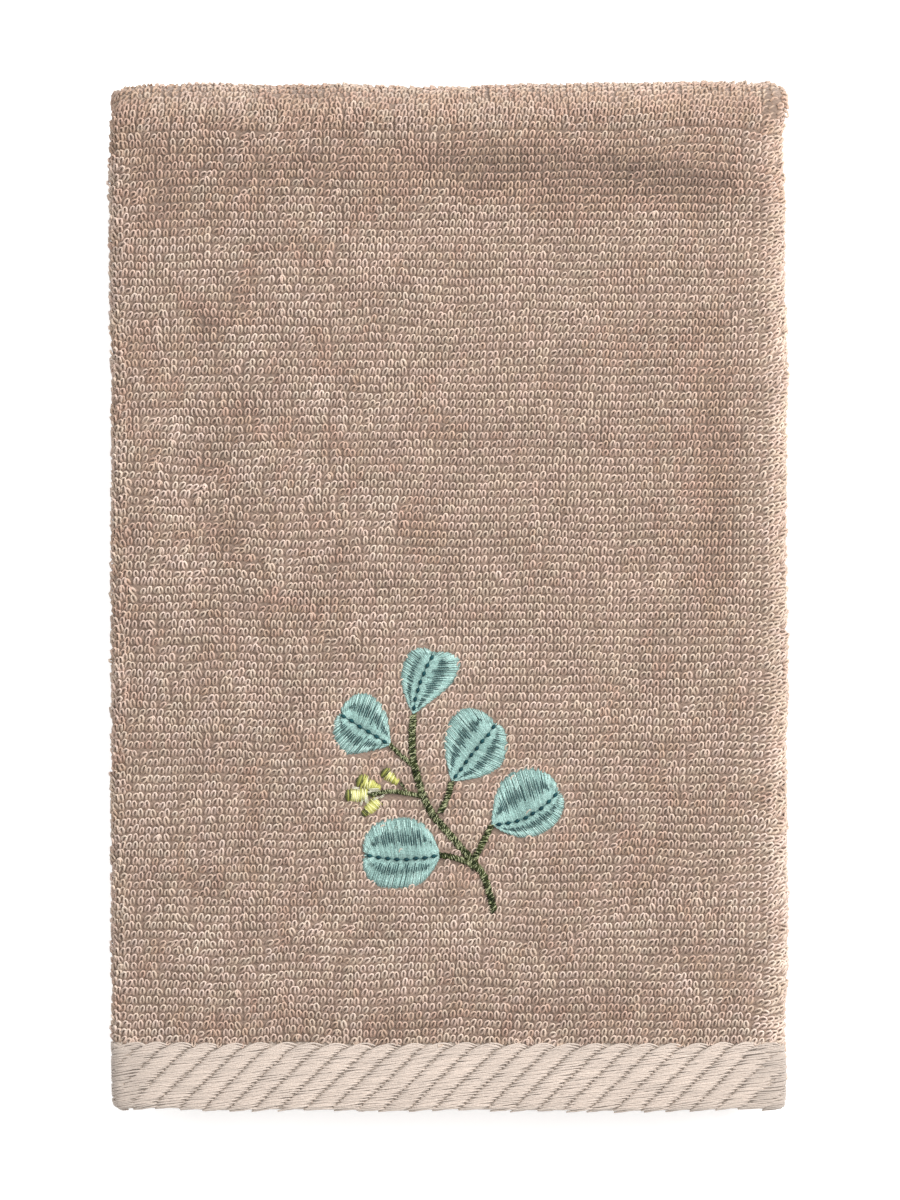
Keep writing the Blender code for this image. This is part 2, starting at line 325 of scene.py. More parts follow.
def settle(x, y, z):
    """The unevenness of the cloth as it lies. All layers move together, so none meet."""
    half_x = FACE_WIDTH / 2
    half_y = FACE_LENGTH / 2
    left = smooth(-x, half_x - WAVE_REACH, half_x)
    right = smooth(x, half_x - WAVE_REACH, half_x)
    bottom = smooth(-y, half_y - WAVE_REACH, half_y)
    top = smooth(y, half_y - WAVE_REACH, half_y)
    from_hem = y + half_y
    from_left = x + half_x
    new_x = x - left * read_table(SIDE_WAVES, from_hem, 1)
    new_x += right * read_table(SIDE_WAVES, from_hem, 2)
    new_y = y - bottom * read_table(END_WAVES, from_left, 1)
    new_y += top * read_table(END_WAVES, from_left, 2)
    new_x -= corner_cut(x, y) * max(left, right)
    below = 1 - z / HEIGHT
    new_x *= 1 - NARROWER_BELOW / half_x * below
    new_x += STRAY_BELOW * below * math.sin(y / STRAY_LENGTH + z / STRAY_RISE)
    new_z = z - spread_over(HOLLOWS, x, y, MM) * (z / HEIGHT) ** 2
    return new_x, new_y, new_z


def folded(across, along, depth):
    """A point of the open cloth in the folded towel, before it is centred."""
    x, below = fold_across(across, depth)
    y, z = fold_along(along, below)
    return Vector(settle(x, y, z))


def centring():
    """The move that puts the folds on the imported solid's place."""
    places = []
    for across in section_lines(ACROSS):
        for along in section_lines(ALONG):
            places.append(folded(across, along, 0.0))
            places.append(folded(across, along, CLOTH))
    low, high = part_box("towel_cloth")
    move = []
    for axis in range(2):
        middle = (min(place[axis] for place in places) + max(place[axis] for place in places)) / 2
        move.append((low[axis] + high[axis]) / 2 - middle)
    move.append(low[2] - min(place.z for place in places))
    return Vector(move)


CENTRING = centring()


def on_towel(across, along, depth):
    """A point of the open cloth in the folded towel."""
    return folded(across, along, depth) + CENTRING


def on_face(x, y, depth):
    """A point over a place of the front panel, given from the towel's middle."""
    across = PANEL_START + x - CENTRING.x - PANEL_LEFT
    return on_towel(across, y - CENTRING.y - HEM_Y, depth)


INSIDE = 1.0 * MM           # a depth inside the cloth, to find which way is out
STEP_UP = 0.2 * MM          # a step along the cloth, to find which way is up


def standing(across, along):
    """Which way the cloth runs at a place: right, upwards along it, and out of it."""
    foot = on_towel(across, along, INSIDE)
    out = (on_towel(across, along, 0.0) - foot).normalized()
    up = on_towel(across, along + STEP_UP, INSIDE) - foot
    up = (up - out * up.dot(out)).normalized()
    return up.cross(out), up, out


# ---------------------------------------------------------------- pieces and yarns


def mesh_of(bm, name):
    """A bmesh made a mesh of the file."""
    mesh = bpy.data.meshes.new(name)
    bm.to_mesh(mesh)
    bm.free()
    return mesh


def keep_piece(name, mesh, finish):
    """Adds a finished piece, with its finish, under the root body."""
    mesh.materials.clear()
    mesh.materials.append(finish)
    piece = bpy.data.objects.new(name, mesh)
    bpy.context.scene.collection.objects.link(piece)
    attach(piece, "root")
    return piece


def solid_from(tree, mesh, name):
    """Runs geometry nodes on a mesh and returns what they make as a plain mesh."""
    guide = bpy.data.objects.new(name + "_guide", mesh)
    bpy.context.scene.collection.objects.link(guide)
    modifier = guide.modifiers.new("lay", "NODES")
    modifier.node_group = tree
    depsgraph = bpy.context.evaluated_depsgraph_get()
    made = bpy.data.meshes.new_from_object(guide.evaluated_get(depsgraph), depsgraph=depsgraph)
    made.name = name
    bpy.data.objects.remove(guide, do_unlink=True)
    bpy.data.meshes.remove(mesh)
    bpy.data.node_groups.remove(tree)
    return made


class Nodes:
    """A short way to place and join nodes."""

    def __init__(self, tree):
        self.tree = tree

    def add(self, kind, inputs=None, **settings):
        made = self.tree.nodes.new(kind)
        for key, value in settings.items():
            setattr(made, key, value)
        for key, value in (inputs or {}).items():
            socket = made.inputs[key]
            if isinstance(value, bpy.types.NodeSocket):
                self.join(value, socket)
            else:
                socket.default_value = value
        return made

    def join(self, output, socket):
        self.tree.links.new(output, socket)

    def maths(self, operation, *values):
        return self.add("ShaderNodeMath", dict(enumerate(values)), operation=operation).outputs[0]

    def reading(self, name, kind="FLOAT"):
        made = self.add("GeometryNodeInputNamedAttribute", {"Name": name}, data_type=kind)
        return made.outputs["Attribute"]

    def storing(self, geometry, name, value, kind="FLOAT", domain="POINT"):
        inputs = {"Geometry": geometry, "Name": name, "Value": value}
        made = self.add("GeometryNodeStoreNamedAttribute", inputs, data_type=kind, domain=domain)
        return made.outputs["Geometry"]


def geometry_tree(name):
    """An empty geometry node group: its nodes, its input and its output."""
    tree = bpy.data.node_groups.new(name, "GeometryNodeTree")
    tree.interface.new_socket("Geometry", in_out="INPUT", socket_type="NodeSocketGeometry")
    tree.interface.new_socket("Geometry", in_out="OUTPUT", socket_type="NodeSocketGeometry")
    nodes = Nodes(tree)
    start = nodes.add("NodeGroupInput").outputs["Geometry"]
    return nodes, start, nodes.add("NodeGroupOutput").inputs["Geometry"]


def spinning_tree(sides):
    """Turns guide lines into round yarns whose thickness is the guide's girth."""
    nodes, start, end = geometry_tree("spinning")
    ring = nodes.add("GeometryNodeCurvePrimitiveCircle", {"Resolution": sides, "Radius": 1.0})
    number = nodes.add("GeometryNodeInputIndex").outputs["Index"]
    around = nodes.maths("DIVIDE", number, sides - 1.0)
    ring_marked = nodes.storing(ring.outputs["Curve"], "around", around)
    lines = nodes.add("GeometryNodeMeshToCurve", {"Mesh": start}).outputs["Curve"]
    inputs = {"Curve": lines, "Profile Curve": ring_marked, "Scale": nodes.reading("girth")}
    inputs["Fill Caps"] = True
    yarns = nodes.add("GeometryNodeCurveToMesh", inputs).outputs["Mesh"]
    column = nodes.maths("ADD", nodes.reading("column"), nodes.reading("share"))
    row = nodes.maths("ADD", nodes.reading("row"), nodes.reading("around"))
    spread = nodes.add("ShaderNodeCombineXYZ", {"X": column, "Y": row}).outputs["Vector"]
    mapped = nodes.storing(yarns, "OFBake", spread, "FLOAT2", "CORNER")
    rounded = nodes.add("GeometryNodeSetShadeSmooth", {"Geometry": mapped})
    nodes.join(rounded.outputs["Geometry"], end)
    return nodes.tree


MAP_COLUMNS = 8             # yarns side by side in a piece's map
MAP_EDGE = 0.06             # room left free round each yarn, as a share of its cell


def spun(name, yarns, sides):
    """Round yarns as one mesh. A yarn is its points, its girth at each, and its tone."""
    bm = bmesh.new()
    layers = bm.verts.layers.float
    girth, tone, share, column, row = [
        layers.new(key) for key in ("girth", "tone", "share", "column", "row")
    ]
    rows = math.ceil(len(yarns) / MAP_COLUMNS)
    for number, (points, girths, yarn_tone) in enumerate(yarns):
        last = None
        for step, point in enumerate(points):
            vert = bm.verts.new(point)
            vert[girth] = girths[step]
            vert[tone] = yarn_tone
            vert[share] = step / (len(points) - 1)
            vert[column] = number % MAP_COLUMNS
            vert[row] = number // MAP_COLUMNS
            if last:
                bm.edges.new((last, vert))
            last = vert
    made = solid_from(spinning_tree(sides), mesh_of(bm, name + "_lines"), name)
    shrink_map(made, MAP_COLUMNS, rows)
    return made


def shrink_map(mesh, columns, rows):
    """Scales a map of numbered cells to the picture, with a little room round each cell."""
    spots = mesh.attributes["OFBake"].data
    for spot in spots:
        x, y = spot.vector
        cell_x = min(math.floor(x), columns - 1)
        cell_y = min(math.floor(y), rows - 1)
        x = cell_x + MAP_EDGE + (x - cell_x) * (1 - 2 * MAP_EDGE)
        y = cell_y + MAP_EDGE + (y - cell_y) * (1 - 2 * MAP_EDGE)
        spot.vector = (x / columns, y / rows)


# ---------------------------------------------------------------- materials


def finish_tree(name):
    """A new material, its nodes and its Principled shader."""
    material = bpy.data.materials.new(name)
    material.use_nodes = True
    return material, Nodes(material.node_tree), material.node_tree.nodes["Principled BSDF"]


def shader_group(name, takes, gives):
    """An empty shader node group: its nodes, what comes in and what goes out."""
    tree = bpy.data.node_groups.new(name, "ShaderNodeTree")
    for key in takes:
        tree.interface.new_socket(key, in_out="INPUT", socket_type="NodeSocketFloat")
    for key, kind in gives.items():
        tree.interface.new_socket(key, in_out="OUTPUT", socket_type=kind)
    nodes = Nodes(tree)
    return nodes, nodes.add("NodeGroupInput").outputs, nodes.add("NodeGroupOutput").inputs


def cloudy(nodes, scale, detail, roughness=0.5):
    """Noise over the piece, from 0 to 1."""
    where = nodes.add("ShaderNodeTexCoord").outputs["Object"]
    inputs = {"Vector": where, "Scale": scale, "Detail": detail, "Roughness": roughness}
    return nodes.add("ShaderNodeTexNoise", inputs).outputs["Fac"]


def near_one(nodes, fac, amount):
    """Brightness that strays from 1 by an amount."""
    return nodes.maths("MULTIPLY_ADD", nodes.maths("SUBTRACT", fac, 0.5), amount, 1.0)


def patches_group():
    """Slow patches over the cloth: where the pile lies differently or took less dye."""
    gives = {"Brightness": "NodeSocketFloat"}
    nodes, start, end = shader_group("cloth_patches", ("Amount", "Patch Scale"), gives)
    broad = cloudy(nodes, start["Patch Scale"], 3.0, 0.6)
    nodes.join(near_one(nodes, broad, start["Amount"]), end["Brightness"])
    return nodes.tree


def fibre_group():
    """Fine fibres and twist of a yarn: a brightness near 1 and a bumped normal."""
    gives = {"Brightness": "NodeSocketFloat", "Normal": "NodeSocketVector"}
    nodes, start, end = shader_group("yarn_fibre", ("Fibre Scale", "Amount", "Bump"), gives)
    fine = cloudy(nodes, start["Fibre Scale"], 2.0, 0.7)
    nodes.join(near_one(nodes, fine, start["Amount"]), end["Brightness"])
    inputs = {"Height": fine, "Strength": start["Bump"], "Distance": 0.1 * MM}
    nodes.join(nodes.add("ShaderNodeBump", inputs).outputs["Normal"], end["Normal"])
    return nodes.tree


PATCHES = patches_group()
FIBRE = fibre_group()


def attribute(nodes, name):
    """A number stored on the piece."""
    return nodes.add("ShaderNodeAttribute", attribute_name=name).outputs["Fac"]


def from_middle(nodes):
    """How far a place of a yarn is from its middle: 0 there, 0.5 at its ends."""
    return nodes.maths("ABSOLUTE", nodes.maths("SUBTRACT", attribute(nodes, "share"), 0.5))


def ramp(nodes, value, stops):
    """Colours along a value: stops are (value, colour)."""
    made = nodes.add("ShaderNodeValToRGB", {"Fac": value})
    elements = made.color_ramp.elements
    for stop, (place, colour) in zip((elements[0], elements[1]), (stops[0], stops[-1])):
        stop.position = place
        stop.color = (*colour, 1.0)
    for place, colour in stops[1:-1]:
        elements.new(place).color = (*colour, 1.0)
    return made.outputs["Color"]


def tinted(nodes, colour, *brightnesses):
    """A colour times some brightnesses."""
    for brightness in brightnesses:
        made = nodes.add(
            "ShaderNodeMix",
            {"Factor": 1.0, 6: colour, 7: brightness},
            data_type="RGBA",
            blend_type="MULTIPLY",
        )
        colour = made.outputs[2]
    return colour


def grouped(nodes, tree, **inputs):
    """A node group placed with its own values."""
    made = nodes.add("ShaderNodeGroup", node_tree=tree)
    for key, value in inputs.items():
        made.inputs[key.replace("_", " ")].default_value = value
    return made


def dress(nodes, surface, colour, normal, **values):
    """Joins colour and relief to the shader, and sets the rest on its own sockets."""
    nodes.join(colour, surface.inputs["Base Color"])
    if normal:
        nodes.join(normal, surface.inputs["Normal"])
    for key, value in values.items():
        surface.inputs[key.replace("_", " ")].default_value = value


# The pile yarn runs from its tip to painted shade at its roots, deep in the pile.
SHADED_ROOT_TAUPE = (0.31, 0.22, 0.17)
MID_TAUPE = (0.53, 0.412, 0.343)
TIP_TAUPE = (0.675, 0.541, 0.465)
PILE_SPREAD = 0.24          # from the darkest yarn to the palest
DARKEST_PILE = 0.815
PLAIN = (1.0, 1.0, 1.0)
# Painted light: darker yarns get a warmer tint, the bounce between fibres in shaded pile, and the
# palest a cooler one, the grey of lit rims: tone, tint.
PAINTED_LIGHT_TINT = ((0.0, (1.07, 0.98, 0.93)), (0.35, PLAIN), (0.8, PLAIN), (1.0, (0.965, 1.0, 1.03)))
# The dye leans to these two, by place.
PINKER = (1.0, 0.96, 0.95)
GREENER = (0.98, 0.985, 0.93)


def pile_finish():
    """Cotton pile: painted shade darkens it toward the roots, with slow patches and a little spread
    by loop.
    """
    material, nodes, surface = finish_tree("terry_pile")
    tone = attribute(nodes, "tone")
    colour = ramp(nodes, from_middle(nodes), ((0.0, TIP_TAUPE), (0.3, MID_TAUPE), (0.5, SHADED_ROOT_TAUPE)))
    spread = nodes.maths("MULTIPLY_ADD", tone, PILE_SPREAD, DARKEST_PILE)
    patches = grouped(nodes, PATCHES, Amount=0.35, Patch_Scale=110.0)
    fibre = grouped(nodes, FIBRE, Fibre_Scale=5200.0, Amount=0.6, Bump=0.9)
    hue = ramp(nodes, cloudy(nodes, 320.0, 2.0), ((0.4, PINKER), (0.62, GREENER)))
    tints = (hue, ramp(nodes, tone, PAINTED_LIGHT_TINT), spread, patches.outputs[0], fibre.outputs[0])
    colour = tinted(nodes, colour, *tints)
    dress(
        nodes, surface, colour, fibre.outputs["Normal"],
        Roughness=0.9, Specular_IOR_Level=0.25, Sheen_Weight=0.12, Sheen_Roughness=0.5,
    )
    return material


CREAM_LIGHT = (0.53, 0.45, 0.393)
# Painted shade where a float dives into its groove.
CREAM_DIVE_SHADE = (0.42, 0.34, 0.283)
FLOAT_SPREAD = 0.14
DARKEST_FLOAT = 0.92


def band_finish():
    """The band's floating yarns: smooth cream cotton, with painted shade where they dive."""
    material, nodes, surface = finish_tree("band_floats")
    colour = ramp(nodes, from_middle(nodes), ((0.44, CREAM_LIGHT), (0.5, CREAM_DIVE_SHADE)))
    spread = nodes.maths("MULTIPLY_ADD", attribute(nodes, "tone"), FLOAT_SPREAD, DARKEST_FLOAT)
    patches = grouped(nodes, PATCHES, Amount=0.2, Patch_Scale=160.0)
    fibre = grouped(nodes, FIBRE, Fibre_Scale=3800.0, Amount=0.85, Bump=0.8)
    colour = tinted(nodes, colour, spread, patches.outputs[0], fibre.outputs[0])
    dress(nodes, surface, colour, fibre.outputs["Normal"], Roughness=0.75, Sheen_Weight=0.15)
    return material


# The ground under the pile is painted dark, as the shade deep in the pile.
SHADED_GROUND_TAUPE = (0.235, 0.167, 0.13)
GROUND_CREAM = (0.48, 0.405, 0.345)
WEAVE_ACROSS = 0.66 * MM    # between threads of the ground, across and along
WEAVE_ALONG = 0.41 * MM


def cloth_finish():
    """The woven ground: taupe under the pile, painted dark as the shade deep in the pile, and a fine
    cream weave at the bands, all tinted with the painted light and shade of the top.
    """
    material, nodes, surface = finish_tree("towel_ground")
    place = nodes.add("ShaderNodeAttribute", attribute_name="cloth_place").outputs["Vector"]
    parts = nodes.add("ShaderNodeSeparateXYZ", {"Vector": place}).outputs
    # The threads cross in a plain weave of small squares.
    weave_x = nodes.maths("SINE", nodes.maths("MULTIPLY", parts["X"], math.pi / WEAVE_ACROSS))
    weave_y = nodes.maths("SINE", nodes.maths("MULTIPLY", parts["Y"], math.pi / WEAVE_ALONG))
    weave = nodes.maths("MULTIPLY", weave_x, weave_y)
    woven = nodes.maths("MULTIPLY_ADD", weave, 0.12, 0.95)
    fibre = grouped(nodes, FIBRE, Fibre_Scale=3600.0, Amount=0.6, Bump=0.4)
    patches = grouped(nodes, PATCHES, Amount=0.3, Patch_Scale=110.0)
    colour = ramp(nodes, attribute(nodes, "band"), ((0.45, SHADED_GROUND_TAUPE), (0.55, GROUND_CREAM)))
    tints = (attribute(nodes, "lie"), woven, patches.outputs[0], fibre.outputs[0])
    colour = tinted(nodes, colour, *tints)
    height = nodes.maths("MULTIPLY_ADD", weave, 0.5, 0.5)
    inputs = {"Height": height, "Strength": 0.6, "Distance": 0.2 * MM}
    inputs["Normal"] = fibre.outputs["Normal"]
    bump = nodes.add("ShaderNodeBump", inputs)
    dress(nodes, surface, colour, bump.outputs["Normal"], Roughness=0.92, Sheen_Weight=0.2)
    return material


END_SHADE = 2.4             # how much painted shade darkens a thread where it dives


def thread_finish(name, stops, roughness, speckle=0.7, gloss=0.5):
    """Glossy sewing thread, whose colour runs by thread, with painted shade at its ends where it
    dives.
    """
    material, nodes, surface = finish_tree(name)
    colour = ramp(nodes, attribute(nodes, "tone"), stops)
    cubed = nodes.maths("POWER", from_middle(nodes), 3.0)
    ends = nodes.maths("MULTIPLY_ADD", cubed, -END_SHADE, 1.0)
    fibre = grouped(nodes, FIBRE, Fibre_Scale=4400.0, Amount=speckle, Bump=0.5)
    colour = tinted(nodes, colour, ends, fibre.outputs[0])
    dress(
        nodes, surface, colour, fibre.outputs["Normal"],
        Roughness=roughness, Specular_IOR_Level=gloss, Sheen_Weight=0.1 * gloss,
    )
    return material


# ---------------------------------------------------------------- how the pile lies

PATCH_WIDTH = 14 * MM       # of the ruffled patches
SWAY_LENGTH = 16 * MM       # over which rows and columns stray, and how far
SWAY = 0.8 * MM
FINE_CLUMP = 3.4 * MM       # how wide clumps of paler or darker loops are
BROAD_CLUMP = 9 * MM


def unruly(place):
    """How much the pile is ruffled at a place: more on the left, hardly on the right."""
    share = max(smooth(-place.x, -12 * MM, 38 * MM), 0.6 * smooth(-place.y, 0, 45 * MM))
    patchy = noise.noise(place / PATCH_WIDTH + Vector((2, 5, 1)))
    return min(max(0.12 + 0.7 * share + 0.5 * patchy, 0.0), 1.0)


def sway(across, along):
    """How far the rows and columns of the pile stray at a place."""
    spot = Vector((across / SWAY_LENGTH, along / SWAY_LENGTH, 0.0))
    return SWAY * noise.noise(spot), SWAY * noise.noise(spot + Vector((7, 3, 5)))


def mottle(place, ruffled):
    """Clumps of loops that come out a little paler or darker."""
    fine = noise.noise(place / FINE_CLUMP)
    broad = noise.noise(place / BROAD_CLUMP + Vector((4, 1, 7)))
    return 0.24 * ruffled * fine + (0.07 + 0.17 * ruffled) * broad


# Painted shade (-) and painted light (+) on the pile and its ground, such as the shade in the
# troughs and the light on the right edge, as soft spots in mm: x, y, half length, half width, turn
# in degrees, share.
PAINTED_SHADING_SPOTS = (
    (22, 87, 27, 3.2, -3, -0.17),
    (31, 84, 52, 5.5, -2, -0.12),
    (-25, 87, 24, 3.6, 0, -0.07),
    (-30, 85, 7, 3, 0, -0.10),
    (0, 82, 66, 6, 0, -0.045),
    (44, 84, 17, 5, -3, -0.09),
    (31, 79, 27, 4, -2, -0.08),
    (-55, 81, 15, 11, 0, -0.06),
    (0, 99, 72, 3.5, 0, -0.04),
    (56, 98, 16, 5, 0, -0.09),
    (0, 95, 72, 6, 0, -0.06),
    (-60, 82, 9, 6, 0, -0.05),
    (48, 10, 46, 7, 90, -0.05),
    (39, 36, 34, 9, 90, -0.03),
    (-63, 96, 9, 9, 0, -0.08),
    (-46, 54, 6, 4, 0, -0.12),
    (-37, 45, 6, 2.5, -40, -0.06),
    (-44, 32, 10, 3.5, 90, -0.08),
    (-46, 17, 8, 3, 100, -0.08),
    (-41, 6, 7, 2.5, -60, -0.07),
    (-28, -2, 8, 2.6, 0, -0.12),
    (0, 32, 5, 3, 35, -0.09),
    (-14, 28, 5, 2.5, 0, -0.05),
    (-3, 11, 7, 3, -60, -0.09),
    (16, 11, 5, 2.6, 0, -0.08),
    (3, -1, 5, 2.6, -40, -0.08),
    (54, 27, 30, 4, 90, -0.15),
    (51, 54, 7, 4, 0, -0.07),
    (54, 4, 4, 2.6, 0, -0.09),
    (33, 47, 10, 6, 0, -0.04),
    (-64, 1, 17, 2.6, 90, -0.07),
    (-64, 60, 10, 3, 90, -0.06),
    (-56, 32, 8, 5, 0, 0.08),
    (-53, 13, 13, 4.5, 90, 0.06),
    (-21, 31, 14, 10, 0, 0.04),
    (0, -11, 28, 8, 0, 0.05),
    (-23, -68, 42, 6, 0, 0.06),
    (-52, -74, 14, 8, 0, 0.02),
    (-53, -48, 40, 10, 90, 0.035),
    (-12, -76, 12, 6, 0, 0.03),
    (61, -62, 10, 5, 90, 0.04),
    (18, -85, 36, 3.4, 0, -0.08),
    (34, -52, 17, 8, 0, -0.05),
    (66, -8, 112, 5, 90, 0.07),
    (66, -70, 26, 8, 90, 0.07),
)


def painted_shading(place):
    """How much painted light brightens, or painted shade darkens, the pile at a place of the top."""
    return spread_over(PAINTED_SHADING_SPOTS, place.x, place.y)


# ---------------------------------------------------------------- the ground cloth

GROUND_DEPTH = 0.86 * MM    # the woven ground lies this far below the pile's tips
BAND_DEPTH = 1.05 * MM      # and this far at the bands, under their floats
FLOOR_DEPTH = 0.2 * MM      # and this far where it lies on the floor
HEM_TRIM = 0.5 * MM         # the hem is turned in this much further than the solid's
# How far the ground rises into the folds, in mm.
TOP_RISE = 0.65
LEFT_RISE = 0.18
BAND_LEFT_RISE = 0.5
RIGHT_RISE = 0.55
HALF_WAY_DROP = 0.2         # less half way up the right side
UPPER_GAIN = 0.22           # and more near its top end
OVER_TOP_GAIN = 0.45        # and more again, as a share, from the top fold on
LOWER_DRAW = 0.4            # less below the top strip, half way up the right side
CORNER_RISE = 1.7           # more where the two folds meet in a full corner


def trimmed(along):
    """A place along the band, drawn in a little from the hem."""
    return max(along, HEM_TRIM + along * (1 - HEM_TRIM / BAND)) if along < BAND else along


def fold_rise(across, along):
    """How much nearer the cloth's surface the ground lies where it goes round a fold."""
    turned = across - RIGHT_FOLD_START
    over_top = along - FRONT_STRIP
    under_top = MIDDLE_START - along
    right = smooth(turned, 1 * MM, 5 * MM) * smooth(OUTER_FLAP_START - across, 0, 4 * MM)
    left = smooth(PANEL_START - across, 0.5 * MM, 3 * MM)
    left *= smooth(across - LEFT_FOLD_START, 0, 3 * MM)
    top = smooth(over_top, 3 * MM, 12 * MM) * smooth(under_top, 2 * MM, 10 * MM)
    y = fold_along(along, 0.0)[0]
    half_way = smooth(y, -23 * MM, -3 * MM) * smooth(-y, -47 * MM, -27 * MM)
    inward = 0.0 if over_top < 0 else LOWER_DRAW * right * half_way
    right *= RIGHT_RISE - HALF_WAY_DROP * half_way + UPPER_GAIN * smooth(along, 176 * MM, 190 * MM)
    right *= 1 + OVER_TOP_GAIN * smooth(along, FRONT_STRIP - 2 * MM, FRONT_STRIP + 5 * MM)
    left *= LEFT_RISE if along > BAND else BAND_LEFT_RISE
    corner = smooth(turned, 0, 3.0 * MM) * smooth(6.2 * MM - turned, 0, 3.2 * MM)
    corner *= smooth(over_top, 1 * MM, 7 * MM) * smooth(under_top, 2 * MM, 10 * MM)
    return (max(right, left, TOP_RISE * top) - inward + CORNER_RISE * corner) * MM


def hem_inset(from_end):
    """How far both faces draw in where the cloth is rounded at an end."""
    edge = min(max(1 - from_end / HEM_ROUND, 0.0), 1.0)
    return HEM_INSET * (1 - math.sqrt(1 - edge * edge))


def ground_depth(across, along, depth):
    """The ground's own two faces, in place of the thick cloth's."""
    from_end = min(along, TOWEL_LENGTH - along)
    inset = hem_inset(from_end)
    pile = smooth(from_end, BAND, BAND + BAND_STEP)
    rise = fold_rise(across, along)
    woven_face = BAND_DEPTH + inset - 0.2 * MM * rib_relief(across, along)
    woven_face -= 0.3 * MM * (1 - rib_fade(across, BAND / 2)) + rise
    on_floor = along > FLOOR_START and (across > OUTER_FLAP_START or across < LEFT_FOLD_START)
    face = FLOOR_DEPTH if on_floor else GROUND_DEPTH - rise
    if depth < CLOTH / 2:
        return woven_face * (1 - pile) + face * pile
    band_back = CLOTH - BAND_RECESS / 3 - inset
    return band_back * (1 - pile) + (CLOTH - GROUND_DEPTH) * pile


def cut(bm, parts, place, direction):
    """Cuts faces and their edges along the plane through a point of the open cloth."""
    verts = dict.fromkeys(vert for face in parts for vert in face.verts)
    edges = dict.fromkeys(edge for face in parts for edge in face.edges)
    touched = [*verts, *edges, *parts]
    bmesh.ops.bisect_plane(bm, geom=touched, plane_co=place, plane_no=direction)


def band_face(bm):
    """The faces of the front band, on the pile side between the two side folds."""
    found = []
    for face in bm.faces:
        place = face.calc_center_median()
        on_panel = PANEL_START < place.x < RIGHT_FOLD_START
        if face.normal.z > 0.5 and on_panel and place.y < BAND:
            found.append(face)
    return found


HAIR = 0.01 * MM            # a distance too small to matter


def make_ground():
    """The cloth itself, cut as one open rectangle and folded."""
    bm = bmesh.new()
    bmesh.ops.create_cube(bm, size=1)
    bmesh.ops.scale(bm, vec=(TOWEL_WIDTH, TOWEL_LENGTH, CLOTH), verts=bm.verts)
    middle = (TOWEL_WIDTH / 2, TOWEL_LENGTH / 2, -CLOTH / 2)
    bmesh.ops.translate(bm, vec=middle, verts=bm.verts)
    for stretches, direction in ((ACROSS, Vector((1, 0, 0))), (ALONG, Vector((0, 1, 0)))):
        for line in section_lines(stretches)[1:-1]:
            cut(bm, bm.faces[:], direction * line, direction)
    bm.normal_update()
    slant = (math.sin(RIB_ANGLE), -math.cos(RIB_ANGLE), 0)
    first = math.floor(rib_phase(PANEL_START, BAND))
    last = math.ceil(rib_phase(RIGHT_FOLD_START, 0))
    for rib in range(first, last + 1):
        for share in RIB_LINES:
            start = PANEL_START + (rib + share) * RIB_PITCH
            cut(bm, band_face(bm), (start, 0, 0), slant)
    bmesh.ops.remove_doubles(bm, verts=bm.verts, dist=SMALLEST_EDGE)
    place = bm.verts.layers.float_vector.new("cloth_place")
    band = bm.verts.layers.float.new("band")
    lie = bm.verts.layers.float.new("lie")
    for vert in bm.verts:
        across, along, depth = vert.co.x, vert.co.y, -vert.co.z
        vert[place] = vert.co
        vert[band] = 1.0 if min(along, TOWEL_LENGTH - along) < BAND + HAIR else 0.0
        vert.co = on_towel(across, trimmed(along), ground_depth(across, along, depth))
        # The ground takes the same painted light and shade as the pile over it.
        vert[lie] = 1 + painted_shading(vert.co)
    for face in bm.faces:
        face.smooth = True
    return keep_piece("towel_ground", mesh_of(bm, "towel_ground"), cloth_finish())


# ---------------------------------------------------------------- the sewn sprig
# Places are in mm from the towel's middle, right and up.

# Leaves: base, tip, bend of the midrib to the left; for the left and right half the
# width, where it is widest, and how full it is towards the base and the tip; and for
# both halves where the dark strokes run, as shares of the way from midrib to edge.
LEAVES = (
    ("top", (-6.9, -23.3), (-2.6, -10.6), 0.7, (5.1, 0.58, 1.7, 5.0), (6.0, 0.66, 1.15, 6.0),
     (0.35, 0.62), (0.22, 0.72)),
    ("left", (-11.5, -29.5), (-22.1, -23.0), 0.0, (6.3, 0.54, 1.3, 1.9), (6.6, 0.63, 2.0, 2.9),
     (0.22, 0.62), (0.30, 0.68)),
    ("middle", (0.9, -36.7), (10.2, -24.7), 0.1, (7.9, 0.62, 1.9, 3.4), (5.9, 0.56, 1.7, 1.7),
     (0.30, 0.62), (0.26, 0.62)),
    ("right", (8.9, -45.5), (22.9, -38.5), -1.7, (7.9, 0.54, 2.1, 2.2), (6.0, 0.56, 2.6, 2.0),
     (0.28, 0.74), (0.26, 0.60)),
    ("low", (-1.5, -51.6), (-17.4, -51.5), 0.8, (6.7, 0.56, 3.3, 3.0), (7.7, 0.47, 3.0, 2.9),
     (0.18, 0.52), (0.32, 0.70)),
)
MIDRIB_REACH = 0.93         # of the leaf's length
NOTCH = 0.5                 # how deep the tip draws in, in mm
SHOULDER = 1.5              # how far the top leaf's right side reaches up, in mm


def leaf_axis(leaf):
    """A leaf's base, its direction, the direction to its left and its length, in mm."""
    base = Vector(leaf[1])
    chord = Vector(leaf[2]) - base
    forward = chord.normalized()
    return base, forward, Vector((-forward.y, forward.x)), chord.length


def midrib(leaf, share):
    """A point of a leaf's midrib, in mm."""
    base, forward, left, length = leaf_axis(leaf)
    bend = leaf[3] * 4 * share * (1 - share)
    return base + forward * (length * MIDRIB_REACH * share) + left * bend


